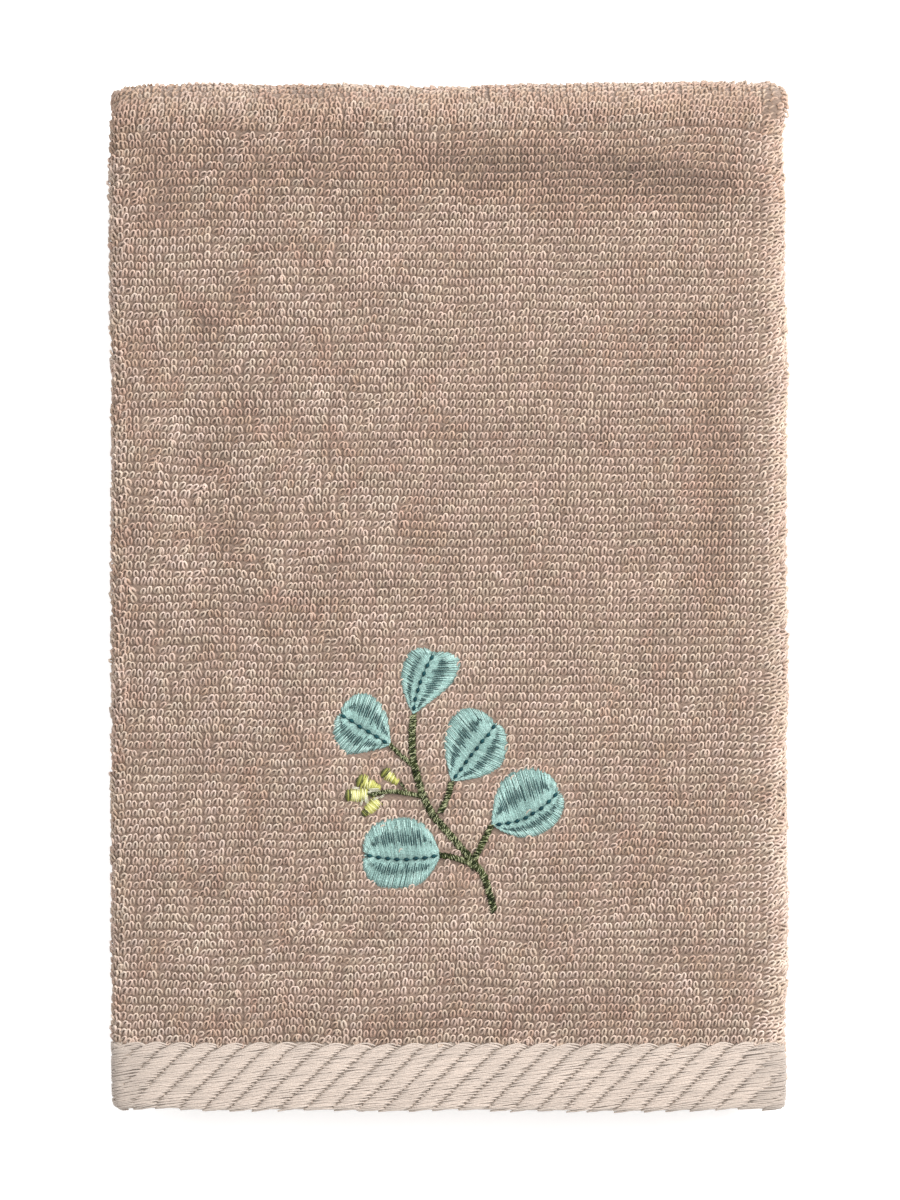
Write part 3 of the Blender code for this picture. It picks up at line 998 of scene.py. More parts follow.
def outline(leaf, side, share):
    """A point of a leaf's outline on one side, in mm. Side is 1 for left, -1 for right."""
    base, forward, left, length = leaf_axis(leaf)
    width, widest, base_shape, tip_shape = leaf[4] if side > 0 else leaf[5]
    if share < widest:
        spread = 1 - ((widest - share) / widest) ** base_shape
    else:
        spread = max(1 - ((share - widest) / (1 - widest)) ** tip_shape, 0.0) ** 0.5
    notch = 0.0 if leaf[0] == "top" else NOTCH * (1 - spread) ** 3 * share
    # The top leaf's right shoulder reaches as high as its tip.
    shoulder = SHOULDER * spread * share ** 2 if leaf[0] == "top" and side < 0 else 0.0
    along = length * share - notch + shoulder
    return base + forward * along + left * (side * width * spread)


OUTLINE_STEPS = 400


def even_outline(leaf, side, pitch):
    """Shares of the outline at an even pitch along it, in mm."""
    shares = []
    walked = 0.0
    last = outline(leaf, side, 0.0)
    for step in range(1, OUTLINE_STEPS + 1):
        share = step / OUTLINE_STEPS
        here = outline(leaf, side, share)
        walked += (here - last).length
        last = here
        if walked >= pitch * (len(shares) + 0.5):
            shares.append(share)
    return shares


def facing(leaf, side, share):
    """A point of a leaf's outline, and the point of its midrib that faces it."""
    return outline(leaf, side, share), midrib(leaf, min(max(share * 0.96 - 0.03, 0.02), 1.0))


def strayed(rng, amount):
    """A small random move, in mm."""
    return Vector((rng.gauss(0, amount), rng.gauss(0, amount)))


def sewn_point(place, depth):
    """A point of the sewing over a place in mm, at a depth in mm."""
    return on_face(place.x * MM, place.y * MM, depth * MM)


THREAD = 0.105 * MM         # half a thread's thickness
SATIN_PITCH = 0.2           # between neighbouring satin threads, in mm
STREAK_PITCH = 0.52         # between the dark strokes laid over them, in mm


def satin(start, end, low, high, rise, thin_end, tone, steps):
    """One satin stitch from start to end, arching from low to high depth in mm."""
    points = []
    girths = []
    for step in range(steps + 1):
        share = step / steps
        depth = low + (high - low) * smooth(share, 0.0, 0.35)
        depth -= rise * max(math.sin(math.pi * share), 0.0) ** 0.6
        points.append(sewn_point(start.lerp(end, share), depth))
        taper = 1 - (1 - thin_end) * smooth(share, 0.35, 1.0)
        girths.append(THREAD * taper)
    return points, girths, tone


def thinner(yarn, share):
    """A yarn with less girth."""
    points, girths, tone = yarn
    return points, [girth * share for girth in girths], tone


# Tones of a leaf's threads. The left leaf's outer threads differ more from each other.
EDGE_TONES = (0.5, 0.6, 0.7, 0.8, 0.95)
LEFT_EDGE_TONES = (0.35, 0.55, 0.8, 1.0, 1.0)
INNER_TONES = (0.5, 0.6, 0.7, 0.8)
INWARD = (0.58, 0.1)        # how far the outer and inner rows reach, and how much that strays
OUTWARD = (0.54, 0.11)
# Where the stitches dive, in mm: the outer row at the edge and inside, the inner row too.
EDGE_DEPTH = 0.98
ROW_DEPTH = 0.46
RIB_DEPTH = 0.52
INNER_DEPTH = 0.48


def leaf_half(leaf, side, rng):
    """The two rows of satin stitches of half a leaf, from its edge and from its midrib."""
    yarns = []
    tones = LEFT_EDGE_TONES if leaf[0] == "left" else EDGE_TONES
    for share in even_outline(leaf, side, SATIN_PITCH):
        edge, core = facing(leaf, side, share)
        edge += strayed(rng, 0.07)
        stop = edge.lerp(core, INWARD[0] + rng.uniform(-INWARD[1], INWARD[1]))
        tone = rng.choice(tones) + rng.uniform(-0.06, 0.06)
        rise = 0.16 if (edge - core).length > 1.5 else 0.1
        yarns.append(satin(edge, stop, EDGE_DEPTH, ROW_DEPTH, rise, 0.5, tone, 5))
    for share in even_outline(leaf, side, SATIN_PITCH * 1.15):
        edge, core = facing(leaf, side, share)
        stop = core.lerp(edge, OUTWARD[0] + rng.uniform(-OUTWARD[1], OUTWARD[1]))
        start = core.lerp(edge, -0.08 / max((edge - core).length, 0.6))
        tone = rng.choice(INNER_TONES) + rng.uniform(-0.06, 0.06)
        yarns.append(satin(start, stop, RIB_DEPTH, INNER_DEPTH, 0.22, 0.5, tone, 5))
    return yarns + dark_strokes(leaf, side, rng)


STROKE_DEPTH = 0.23         # in mm
SHORTEST_STROKE = 0.04      # half of it, as a share of the way from midrib to edge


def dark_strokes(leaf, side, rng):
    """Fine dark strokes half way between the midrib and the edge, in a curved row."""
    yarns = []
    near, far = leaf[6] if side > 0 else leaf[7]
    for share in even_outline(leaf, side, STREAK_PITCH):
        if share < 0.1 or share > 0.95 or rng.random() < 0.12:
            continue
        edge, core = facing(leaf, side, share)
        middle = (near + far) / 2 + rng.gauss(0, 0.04)
        half = (far - near) / 2 * rng.uniform(0.5, 1.15)
        half *= smooth(share, 0.05, 0.3) * smooth(1 - share, 0.0, 0.2)
        if half < SHORTEST_STROKE:
            continue
        start = core.lerp(edge, middle - half)
        stop = core.lerp(edge, middle + half)
        tone = rng.uniform(0, 0.06)
        laid = satin(start, stop, STROKE_DEPTH, STROKE_DEPTH, 0.06, 0.7, tone, 3)
        yarns.append(thinner(laid, 0.85))
    return yarns


RUNNING_PITCH = 1.8         # from one midrib stitch to the next, in mm
RUNNING_SHARE = 0.62        # the part of it that the stitch covers


def midrib_stitches(leaf, rng):
    """Dark running stitches down the middle of a leaf, and the thin thread below them."""
    yarns = []
    count = round(leaf_axis(leaf)[3] * MIDRIB_REACH / RUNNING_PITCH)
    for number in range(count):
        share = (number + 0.35) / count
        start = midrib(leaf, share)
        stop = midrib(leaf, share + RUNNING_SHARE / count)
        aside = strayed(rng, 0.05)
        points = []
        girths = []
        for step in range(5):
            part = step / 4
            arch = 0.3 * math.sin(math.pi * part)
            points.append(sewn_point(start.lerp(stop, part) + aside, 0.3 - arch))
            girths.append((0.1 + arch) * MM)
        yarns.append((points, girths, rng.uniform(0, 0.5)))
    line = [sewn_point(midrib(leaf, step / 24), 0.3) for step in range(25)]
    yarns.append((line, [0.07 * MM] * len(line), 0.3 if leaf[0] == "left" else 1.0))
    return yarns


# Stems: points in mm, and the width in mm.
STEMS = (
    (((-6.9, -23.3), (-7.1, -30.0), (-6.1, -35.8), (-3.6, -42.4), (0.9, -48.0), (5.4, -53.2),
      (7.6, -56.6), (9.3, -62.7)), 1.45),
    (((-11.6, -29.4), (-9.6, -31.3), (-7.3, -33.4)), 0.9),
    (((0.9, -36.6), (0.1, -39.6), (-1.4, -43.0)), 1.2),
    (((8.9, -45.4), (7.2, -48.8), (5.3, -52.4)), 1.25),
    (((-1.6, -51.5), (1.2, -52.0), (3.9, -53.0), (5.2, -54.0)), 1.1),
    (((-5.1, -39.8), (-8.0, -39.2), (-11.6, -38.8), (-15.6, -39.5)), 0.85),
    (((-8.1, -38.9), (-9.4, -37.1)), 0.4),
)
STEM_SLANT = 0.55           # how far a stitch runs on along the stem, for its width
STEM_PITCH = 0.12           # between a stem's stitches, in mm
STEM_TONES = (0.0, 0.1, 0.3, 0.5, 0.8, 1.0)
CORE_DEPTH = 0.85           # of the thread inside a stem, in mm
CORE_PITCH = 0.8
CORE_SHARE = 0.4            # its half thickness, as a share of the stem's width
CURVE_STEPS = 20


def smooth_path(points, pitch):
    """Places at an even pitch on a soft curve through some points, with its direction."""
    ends = [Vector(point) for point in points]
    ends = [ends[0] * 2 - ends[1], *ends, ends[-1] * 2 - ends[-2]]
    fine = []
    for before, start, stop, after in zip(ends, ends[1:], ends[2:], ends[3:]):
        for step in range(CURVE_STEPS):
            t = step / CURVE_STEPS
            first = (stop - before) * 0.5
            last = (after - stop + stop - start) * 0.5
            curve = start * (2 * t ** 3 - 3 * t ** 2 + 1) + first * (t ** 3 - 2 * t ** 2 + t)
            curve += stop * (3 * t ** 2 - 2 * t ** 3) + last * (t ** 3 - t ** 2)
            fine.append(curve)
    fine.append(ends[-2])
    places = []
    walked = 0.0
    for here, there in zip(fine, fine[1:]):
        walked += (there - here).length
        while walked >= pitch * (len(places) + 0.5):
            places.append((there.copy(), (there - here).normalized()))
    return places


def stem_stitches(rng):
    """Slanting satin stitches over every stem, with some lighter ones among them."""
    yarns = []
    for points, width in STEMS:
        core = [sewn_point(place, CORE_DEPTH) for place, _ in smooth_path(points, CORE_PITCH)]
        yarns.append((core, [width * CORE_SHARE * MM] * len(core), 0.0))
        for place, forward in smooth_path(points, STEM_PITCH):
            left = Vector((-forward.y, forward.x))
            half = width / 2 * rng.uniform(0.88, 1.1)
            lean = forward * (half * (STEM_SLANT + rng.gauss(0, 0.3)))
            middle = place + strayed(rng, 0.04)
            # Two short threads meet somewhere over the stem's back.
            reach = left * half - lean
            meeting = rng.uniform(-0.6, 0.6)
            for end in (1, -1):
                tone = rng.choice(STEM_TONES)
                depth = 0.2 + 0.35 * meeting ** 2
                start = middle + reach * end
                stop = middle + reach * meeting
                laid = satin(start, stop, CORE_DEPTH, depth, 0.05, 0.9, tone, 3)
                yarns.append(thinner(laid, 0.8))
    return yarns


# Berries: outer end, inner end, outer width, inner width, width of the olive end in mm,
# and the share of pale threads.
BERRIES = (
    ((-17.1, -36.8), (-13.4, -38.2), 3.0, 0.9, 2.5, 0.1),
    ((-19.4, -39.6), (-15.9, -39.5), 2.7, 2.4, 2.5, 0.35),
    ((-16.2, -42.8), (-13.8, -40.6), 1.9, 2.9, 1.5, 0.12),
    ((-12.2, -35.3), (-9.9, -37.1), 2.4, 1.2, 2.2, 0.15),
)
BERRY_PITCH = 0.16          # between a berry's stitches, in mm
CAP_STITCHES = 9
CAP_HALF = 0.62             # half the olive end's thickness along the berry, in mm
BERRY_DEPTH = 0.9           # where the stitches of a berry and of its olive end dive, in mm
BERRY_RISE = 0.55
CAP_DEPTH = 0.55
CAP_RISE = 0.36


def berry_stitches(rng):
    """Yellow-green satin fans, and the olive stitches at their outer ends."""
    body = []
    caps = []
    for outer, inner, wide, narrow, cap, pale in BERRIES:
        start = Vector(outer)
        axis = Vector(inner) - start
        forward = axis.normalized()
        left = Vector((-forward.y, forward.x))
        count = round(axis.length / BERRY_PITCH)
        for number in range(count):
            share = (number + 0.5) / count
            half = (wide + (narrow - wide) * share ** 1.2) / 2 * rng.uniform(0.84, 1.12)
            middle = start + axis * share
            lean = forward * rng.gauss(0.08, 0.1)
            tone = rng.uniform(0.0, 0.85) if rng.random() > pale else 1.0
            low_end = middle + left * half - lean
            high_end = middle - left * half + lean
            laid = satin(low_end, high_end, BERRY_DEPTH, BERRY_DEPTH, BERRY_RISE, 0.9, tone, 5)
            body.append(laid)
        for number in range(CAP_STITCHES):
            offset = number / (CAP_STITCHES // 2) - 1
            middle = start + forward * (CAP_HALF * offset * 0.95 - 0.45)
            half = cap / 2 * math.sqrt(1 - 0.85 * offset * offset) * rng.uniform(0.92, 1.05)
            low_end = middle + left * half
            high_end = middle - left * half
            tone = rng.uniform(0.0, 1.0) * (1 - abs(offset))
            caps.append(satin(low_end, high_end, CAP_DEPTH, CAP_DEPTH, CAP_RISE, 0.9, tone, 4))
    return body, caps


# Loose pale threads where the berries meet: middle in mm, direction in degrees, length in
# mm, and how many lie side by side.
FLECKS = (
    (-14.6, -38.5, 4, 2.2, 3),
    (-13.1, -39.8, 32, 1.2, 2),
    (-16.2, -40.2, 96, 2.2, 3),
    (-17.2, -41.0, 70, 1.2, 2),
    (-18.3, -38.1, -10, 1.6, 2),
    (-14.3, -40.2, 24, 1.6, 2),
    (-15.6, -38.9, 20, 1.2, 2),
)


FLECK_DEPTH = 0.42          # in mm
FLECK_PITCH = 0.24          # between threads side by side, in mm


def white_flecks(rng):
    """Loose pale stitches where the berries meet their stem."""
    yarns = []
    for x, y, degrees, length, count in FLECKS:
        angle = math.radians(degrees)
        along = Vector((math.cos(angle), math.sin(angle)))
        aside = Vector((-along.y, along.x))
        for number in range(count):
            middle = Vector((x, y)) + aside * (FLECK_PITCH * (number - (count - 1) / 2))
            half = along * (length / 2 * rng.uniform(0.7, 1.1))
            tone = rng.uniform(0.2, 0.9)
            laid = satin(middle - half, middle + half, FLECK_DEPTH, FLECK_DEPTH, 0.2, 0.7, tone, 4)
            yarns.append(thinner(laid, 0.75))
    return yarns


SEWN_SPOTS = []


def sew(name, yarns, finish):
    """Makes a piece of stitches and remembers where it covers the pile."""
    for points, _, _ in yarns:
        SEWN_SPOTS.extend(points)
    return keep_piece(name, spun(name, yarns, 4), finish)


BACKING_STEPS = 26
BACKING_SIZE = 0.955        # of the leaf
BACKING_DEPTH = 0.62        # in mm
BACKING_TONE = 0.36
BACKING_THICKNESS = 0.25 * MM


def leaf_backing(finish):
    """The dark padding under the leaves' stitches, seen between them."""
    bm = bmesh.new()
    for leaf in LEAVES:
        shares = [step / BACKING_STEPS for step in range(BACKING_STEPS + 1)]
        rim = [outline(leaf, 1, share) for share in shares]
        rim += [outline(leaf, -1, share) for share in reversed(shares[1:-1])]
        middle = sum(rim, Vector((0, 0))) / len(rim)
        verts = [bm.verts.new((*(middle.lerp(place, BACKING_SIZE)), 0.0)) for place in rim]
        face = bm.faces.new(verts)
        for inset in (0.9, 1.2):
            bmesh.ops.inset_region(bm, faces=[face], thickness=inset, depth=0)
    bmesh.ops.triangulate(bm, faces=bm.faces)
    tone = bm.verts.layers.float.new("tone")
    for vert in bm.verts:
        vert.co = sewn_point(Vector(vert.co[:2]), BACKING_DEPTH)
        vert[tone] = BACKING_TONE
    bmesh.ops.recalc_face_normals(bm, faces=bm.faces)
    for face in bm.faces:
        face.smooth = True
    bmesh.ops.solidify(bm, geom=bm.faces[:], thickness=BACKING_THICKNESS)
    return keep_piece("leaf_backing", mesh_of(bm, "leaf_backing"), finish)


LEAF_STOPS = (
    (0.0, (0.007, 0.045, 0.055)),
    (0.16, (0.035, 0.10, 0.10)),
    (0.35, (0.19, 0.315, 0.295)),
    (0.7, (0.29, 0.45, 0.42)),
    (1.0, (0.44, 0.61, 0.575)),
)
MIDRIB_STOPS = ((0.0, (0.004, 0.035, 0.045)), (0.6, (0.012, 0.07, 0.08)), (1.0, (0.09, 0.2, 0.2)))
STEM_STOPS = ((0.0, (0.008, 0.014, 0.003)), (0.5, (0.07, 0.086, 0.028)), (1.0, (0.42, 0.44, 0.26)))
BERRY_STOPS = ((0.0, (0.36, 0.365, 0.07)), (0.7, (0.62, 0.605, 0.20)), (1.0, (0.80, 0.78, 0.48)))
OLIVE_STOPS = ((0.0, (0.035, 0.04, 0.004)), (1.0, (0.34, 0.35, 0.07)))
PALE_STOPS = ((0.0, (0.5, 0.5, 0.33)), (1.0, (0.85, 0.84, 0.72)))


def make_sprig():
    """All the sewing of the sprig."""
    rng = random.Random(41)
    leaf_look = thread_finish("leaf_thread", LEAF_STOPS, 0.55, 2.5, 0.3)
    midrib_look = thread_finish("midrib_thread", MIDRIB_STOPS, 0.6, 0.5, 0.15)
    stem_look = thread_finish("stem_thread", STEM_STOPS, 0.55, 2.4, 0.15)
    leaf_backing(leaf_look)
    for leaf in LEAVES:
        halves = leaf_half(leaf, 1, rng) + leaf_half(leaf, -1, rng)
        sew("leaf_" + leaf[0], halves, leaf_look)
    midribs = [yarn for leaf in LEAVES for yarn in midrib_stitches(leaf, rng)]
    sew("midribs", midribs, midrib_look)
    sew("stems", stem_stitches(rng), stem_look)
    body, caps = berry_stitches(rng)
    sew("berries", body, thread_finish("berry_thread", BERRY_STOPS, 0.42))
    sew("berry_ends", caps, thread_finish("olive_thread", OLIVE_STOPS, 0.5))
    sew("flecks", white_flecks(rng), thread_finish("pale_thread", PALE_STOPS, 0.45))


# ---------------------------------------------------------------- the woven band

FLOAT_PITCH = 0.31 * MM
FLOAT_GIRTH = 0.19 * MM
FLOAT_STEPS = 6
FLOAT_DEPTH = 0.74 * MM     # where a float dives, from the pile's tips
FLOAT_ARCH = 0.42 * MM      # how far it stands up between
FLOAT_CLIMB = (0.22, 0.45)  # how far a float climbs to the right, in mm
FLOAT_STRAY = 0.03          # how far one strays from its neighbours, in mm
BAND_TURN = 7 * MM          # how far the floats go round the side folds
LEFT_END_SHADE = 1.3        # how much painted shade darkens the band at its two ends, in tone
RIGHT_END_SHADE = 1.9


def band_float(rib, along, pair_along, rng):
    """One floating yarn of a rib, from groove to groove. None where it leaves the panel.

    Two neighbours end alike, so that the groove goes up in small steps.
    """
    middle = PANEL_START + (rib + 0.5) * RIB_PITCH + pair_along / math.tan(RIB_ANGLE)
    plain = 1 - rib_fade(middle, min(along, BAND - RIB_END))
    middle += rng.gauss(0, 0.08 + 0.7 * plain) * MM
    half = RIB_PITCH * 0.5 * (1.05 + 0.1 * plain + (0.05 + 0.1 * plain) * rng.uniform(-1, 1))
    first = PANEL_START - BAND_TURN
    last = RIGHT_FOLD_START + BAND_TURN
    if middle + half * 0.5 < first or middle - half * 0.5 > last:
        return None
    climb = rng.uniform(*FLOAT_CLIMB) * MM
    lift = rng.gauss(0, FLOAT_STRAY) * MM
    near_end = smooth(along, BAND - 1.8 * MM, BAND)
    points = []
    girths = []
    for step in range(FLOAT_STEPS + 1):
        share = step / FLOAT_STEPS * 2 - 1
        across = min(max(middle + half * share, first), last)
        height = along + climb * share - near_end * 0.9 * MM * share ** 2
        height += rng.gauss(0, FLOAT_STRAY) * MM
        arch = max(1 - abs(share) ** 6, 0.0)
        fade = 0.45 + 0.55 * rib_fade(across, min(along, BAND - RIB_END))
        depth = FLOAT_DEPTH + hem_inset(height) - (FLOAT_ARCH + lift) * arch * fade
        depth -= fold_rise(across, along)
        points.append(on_towel(across, trimmed(height), depth))
        girths.append(FLOAT_GIRTH * (0.8 + 0.2 * arch) * (1 + 0.12 * plain))
    # Floats near both sides of the band carry painted shade, and are more alike.
    left_end = 1 - smooth(middle, PANEL_START - 2 * MM, PANEL_START + 8 * MM)
    right_end = smooth(middle, RIGHT_FOLD_START - 4 * MM, RIGHT_FOLD_START + 3 * MM)
    tone = 0.5 + (rng.random() - 0.5) * (1 - 0.5 * max(left_end, right_end))
    return points, girths, tone - LEFT_END_SHADE * left_end - RIGHT_END_SHADE * right_end


def make_band():
    """The ribs of the front band, filled with floating yarns."""
    rng = random.Random(77)
    yarns = []
    first = math.floor(rib_phase(PANEL_START, BAND)) - 1
    last = math.ceil(rib_phase(RIGHT_FOLD_START, 0)) + 1
    count = round((BAND + 0.2 * MM) / FLOAT_PITCH)
    for rib in range(first, last + 1):
        for number in range(count):
            along = (number + 0.35) * FLOAT_PITCH + rng.gauss(0, FLOAT_STRAY) * MM
            pair_along = (number // 2 * 2 + 0.85) * FLOAT_PITCH
            laid = band_float(rib, along, pair_along, rng)
            if laid:
                yarns.append(laid)
    keep_piece("band_floats", spun("band_floats", yarns, 4), band_finish())


# ---------------------------------------------------------------- the pile

COLUMN_PITCH = 1.32 * MM
ROW_PITCH = 1.64 * MM
LOOP_FOOT = 0.98 * MM       # depth of the loops' feet
YARN = 0.275 * MM           # half the pile yarn's thickness
LOOP_KINDS = 14
# The least and most of each measure of a loop.
LOOP_WIDE = (0.82, 0.94)    # mm
LOOP_TALL = (1.5, 1.7)      # mm
LOOP_OPEN = (0.78, 0.88)    # how far it closes round at its feet, as a share of a ring
FOOT_SLOPE = (33, 55)       # degrees from lying along the cloth
TIP_SLOPE = (86, 105)
LOOP_ROLL = (0.1, 0.5)      # how far one leg lies deeper than the other
LOOP_SKEW = (-0.02, 0.18)   # how far the tip leans aside


def loop_yarn(rng, steps):
    """One kind of loop, an arch that leans over: x right, y up along the cloth, z out."""
    wide = rng.uniform(*LOOP_WIDE) * MM
    tall = rng.uniform(*LOOP_TALL) * MM
    reach = math.pi * rng.uniform(*LOOP_OPEN)
    opening = math.cos(reach)
    foot_slope = math.radians(rng.uniform(*FOOT_SLOPE))
    tip_slope = math.radians(rng.uniform(*TIP_SLOPE))
    turned = tip_slope - foot_slope
    roll = rng.uniform(*LOOP_ROLL)
    skew = rng.uniform(*LOOP_SKEW)
    points = []
    girths = []
    for step in range(steps + 1):
        angle = (step / steps * 2 - 1) * reach
        aside = wide / 2 * math.sin(angle)
        share = (math.cos(angle) - opening) / (1 - opening)
        slope = foot_slope + turned * share
        up = tall * (math.cos(foot_slope) - math.cos(slope)) / turned
        out = tall * (math.sin(slope) - math.sin(foot_slope)) / turned
        points.append((aside + skew * tall * share * share, up, out - roll * aside))
        # The yarn is thicker down at its legs.
        leg = abs(step / steps * 2 - 1)
        girths.append(YARN * (0.92 + 0.3 * leg) * rng.uniform(0.93, 1.07))
    return points, girths, 0.5


def loop_kinds(name, steps, sides, seed):
    """A collection with the kinds of loop, to be repeated."""
    rng = random.Random(seed)
    kinds = bpy.data.collections.new(name)
    for number in range(LOOP_KINDS):
        mesh = spun(f"{name}_{number:02d}", [loop_yarn(rng, steps)], sides)
        mesh.materials.clear()
        for key in ("tone", "column", "row", "girth"):
            mesh.attributes.remove(mesh.attributes[key])
        kinds.objects.link(bpy.data.objects.new(mesh.name, mesh))
    return kinds


CELL_EDGE = 0.08            # room left free round each loop's map, as a share of its cell


def planting_tree(kinds, columns, rows):
    """Sets loops on points, turned and sized as the points say."""
    nodes, start, end = geometry_tree("planting")
    inputs = {"Collection": kinds, "Separate Children": True, "Reset Children": True}
    shapes = nodes.add("GeometryNodeCollectionInfo", inputs).outputs["Instances"]
    turn = nodes.add("FunctionNodeEulerToRotation", {"Euler": nodes.reading("turn", "FLOAT_VECTOR")})
    inputs = {"Points": start, "Instance": shapes, "Pick Instance": True}
    inputs["Instance Index"] = nodes.reading("kind", "INT")
    inputs["Rotation"] = turn.outputs["Rotation"]
    inputs["Scale"] = nodes.reading("size", "FLOAT_VECTOR")
    planted = nodes.add("GeometryNodeInstanceOnPoints", inputs).outputs["Instances"]
    real = nodes.add("GeometryNodeRealizeInstances", {"Geometry": planted}).outputs["Geometry"]
    # Each loop's map goes to its own cell: its columns and rows are counted on the cloth.
    cell = nodes.add("ShaderNodeSeparateXYZ", {"Vector": nodes.reading("cell", "FLOAT_VECTOR")})
    used = 1 - 2 * CELL_EDGE
    part_x = nodes.maths("MULTIPLY_ADD", nodes.reading("share"), used, CELL_EDGE)
    part_y = nodes.maths("MULTIPLY_ADD", nodes.reading("around"), used, CELL_EDGE)
    x = nodes.maths("DIVIDE", nodes.maths("ADD", cell.outputs["X"], part_x), float(columns))
    y = nodes.maths("DIVIDE", nodes.maths("ADD", cell.outputs["Y"], part_y), float(rows))
    spread = nodes.add("ShaderNodeCombineXYZ", {"X": x, "Y": y}).outputs["Vector"]
    mapped = nodes.storing(real, "OFBake", spread, "FLOAT2", "CORNER")
    nodes.join(mapped, end)
    return nodes.tree


def plant(name, loops, kinds, finish):
    """A piece of pile. A loop is its place, turn, size, kind, tone and place in the map."""
    bm = bmesh.new()
    layers = bm.verts.layers
    turn, size, cell = [layers.float_vector.new(key) for key in ("turn", "size", "cell")]
    kind = layers.int.new("kind")
    tone = layers.float.new("tone")
    columns = math.ceil(math.sqrt(len(loops) * 1.6))
    rows = math.ceil(len(loops) / columns)
    for number, loop in enumerate(loops):
        vert = bm.verts.new(loop["place"])
        vert[turn] = loop["turn"]
        vert[size] = loop["size"]
        vert[kind] = loop["kind"]
        vert[tone] = loop["tone"]
        vert[cell] = (number % columns, number // columns, 0)
    tree = planting_tree(kinds, columns, rows)
    keep_piece(name, solid_from(tree, mesh_of(bm, name + "_points"), name), finish)


LOOP_TURN = 0.2             # radians that every loop leans to one side, and more at the right
RIGHT_TURN = 0.08
CLUMP_TURN = 0.3            # how far clumps of loops turn alike, and how far ruffled ones do
RUFFLED_TURN = 0.9
CLUMP_WIDTH = 9 * MM
RUFFLE_WIDTH = 3.5 * MM
DEEPEST_DENT = 0.15
OVER_TOP_TIP = 0.35         # radians that loops round the top fold lie down
LOOP_TONES = (0.2, 0.6)     # the darkest loop, and from it to the palest


def loop_at(across, along, rng, size=1.0, pressed=0.0, loose=0.0, lean=0.0):
    """A loop standing at a place of the open cloth. Loose ones turn any way."""
    right, up, out = standing(across, along)
    place = on_towel(across, along, LOOP_FOOT - fold_rise(across, along))
    # Slow fields turn neighbouring loops alike, so that they lie in clumps.
    field = noise.noise(Vector((across / CLUMP_WIDTH, along / CLUMP_WIDTH, 3.0)))
    twist = noise.noise(Vector((across / RUFFLE_WIDTH, along / RUFFLE_WIDTH, 8.0)))
    ruffled = unruly(place)
    turn = -LOOP_TURN - RIGHT_TURN * smooth(place.x, -30 * MM, 50 * MM) - lean
    turn += CLUMP_TURN * field + RUFFLED_TURN * ruffled * twist
    turn += rng.gauss(0, 0.10 + 0.1 * ruffled + 0.3 * loose)
    clump = mottle(place, ruffled)
    dent = max(-clump, 0.0) / DEEPEST_DENT
    over_top = smooth(along - FRONT_STRIP, 0, 8 * MM) * smooth(MIDDLE_START - along, 0, 8 * MM)
    tip = rng.gauss(0, 0.06) - 0.10 * pressed - 0.05 * dent - OVER_TOP_TIP * over_top
    spin = Matrix.Rotation(turn, 3, "Z") @ Matrix.Rotation(tip, 3, "X")
    turned = (Matrix((right, up, out)).transposed() @ spin).to_euler()
    tall = size * rng.uniform(0.9, 1.1)
    wide = size * rng.uniform(0.92, 1.1)
    height = tall * (1 - 0.16 * pressed - 0.1 * loose - 0.05 * dent)
    # A loop's tone holds its own random spread and clump, and the painted light and shade of the
    # top.
    darkest, spread = LOOP_TONES
    return {
        "place": place,
        "turn": Vector(turned),
        "size": Vector((wide, tall, height)),
        "kind": rng.randrange(LOOP_KINDS),
        "tone": darkest + spread * rng.random() + (painted_shading(place) + clump) / PILE_SPREAD,
    }


# A loop that the sewing would cover is moved by one of these, in mm, if that clears it.
NUDGES = in_metres(((0, 0), (0.35, 0), (-0.35, 0), (0, -0.4), (0, 0.4), (0.65, 0), (-0.65, 0)))
CLEAR_MIDDLE = 0.4 * MM     # from a loop's middle to the sewing, and from its tip
CLEAR_TIP = 0.28 * MM


def sewn_tree():
    """Where the sewing is, for quick asking."""
    tree = kdtree.KDTree(len(SEWN_SPOTS))
    for number, spot in enumerate(SEWN_SPOTS):
        tree.insert(spot, number)
    tree.balance()
    return tree


def beside_sewing(sewn, across, along):
    """The nearest place off the sewing, and its distance to it. None where there is none."""
    for aside, upward in NUDGES:
        middle = on_towel(across + aside, along + upward + 0.6 * MM, 0.5 * MM)
        tip = on_towel(across + aside, along + upward + 1.5 * MM, 0.4 * MM)
        away = sewn.find(middle)[2]
        if away > CLEAR_MIDDLE and sewn.find(tip)[2] > CLEAR_TIP:
            return across + aside, along + upward, away
    return None


PRESSED_REACH = 6 * MM      # how far from the sewing the pile is pressed down
FIRST_ROW_SIZE = 1.04
FIRST_ROW_TONE = 0.05


def face_loops(rng):
    """The pile of the front panel, row by row from the band up."""
    sewn = sewn_tree()
    columns = round(PANEL / COLUMN_PITCH)
    rows = round((FRONT_STRIP - BAND) / ROW_PITCH)
    found = [edge_loops(columns, rng)]
    for row in range(rows):
        loops = []
        for column in range(columns):
            across = PANEL_START + (column + 0.5) * PANEL / columns
            along = BAND - 0.1 * MM + row * (FRONT_STRIP - BAND) / rows
            aside, upward = sway(across, along)
            across += aside + rng.gauss(0, 0.08) * MM
            along += upward + rng.gauss(0, 0.07) * MM
            spot = beside_sewing(sewn, across, max(along, BAND - 0.5 * MM))
            if not spot:
                continue
            across, along, away = spot
            pressed = 1 - smooth(away, 1.0 * MM, PRESSED_REACH)
            lean = 0.5 * smooth(across, RIGHT_FOLD_START - 6 * MM, RIGHT_FOLD_START + 1 * MM)
            size = FIRST_ROW_SIZE if row == 0 else 1.0 + 0.15 * lean
            loop = loop_at(across, along, rng, size, pressed, 0.0, lean)
            if row == 0:
                loop["tone"] += FIRST_ROW_TONE
            loops.append(loop)
        found.append(loops)
    return found


EDGE_GAPS = 0.6             # the share of places at the band's edge without a stray loop


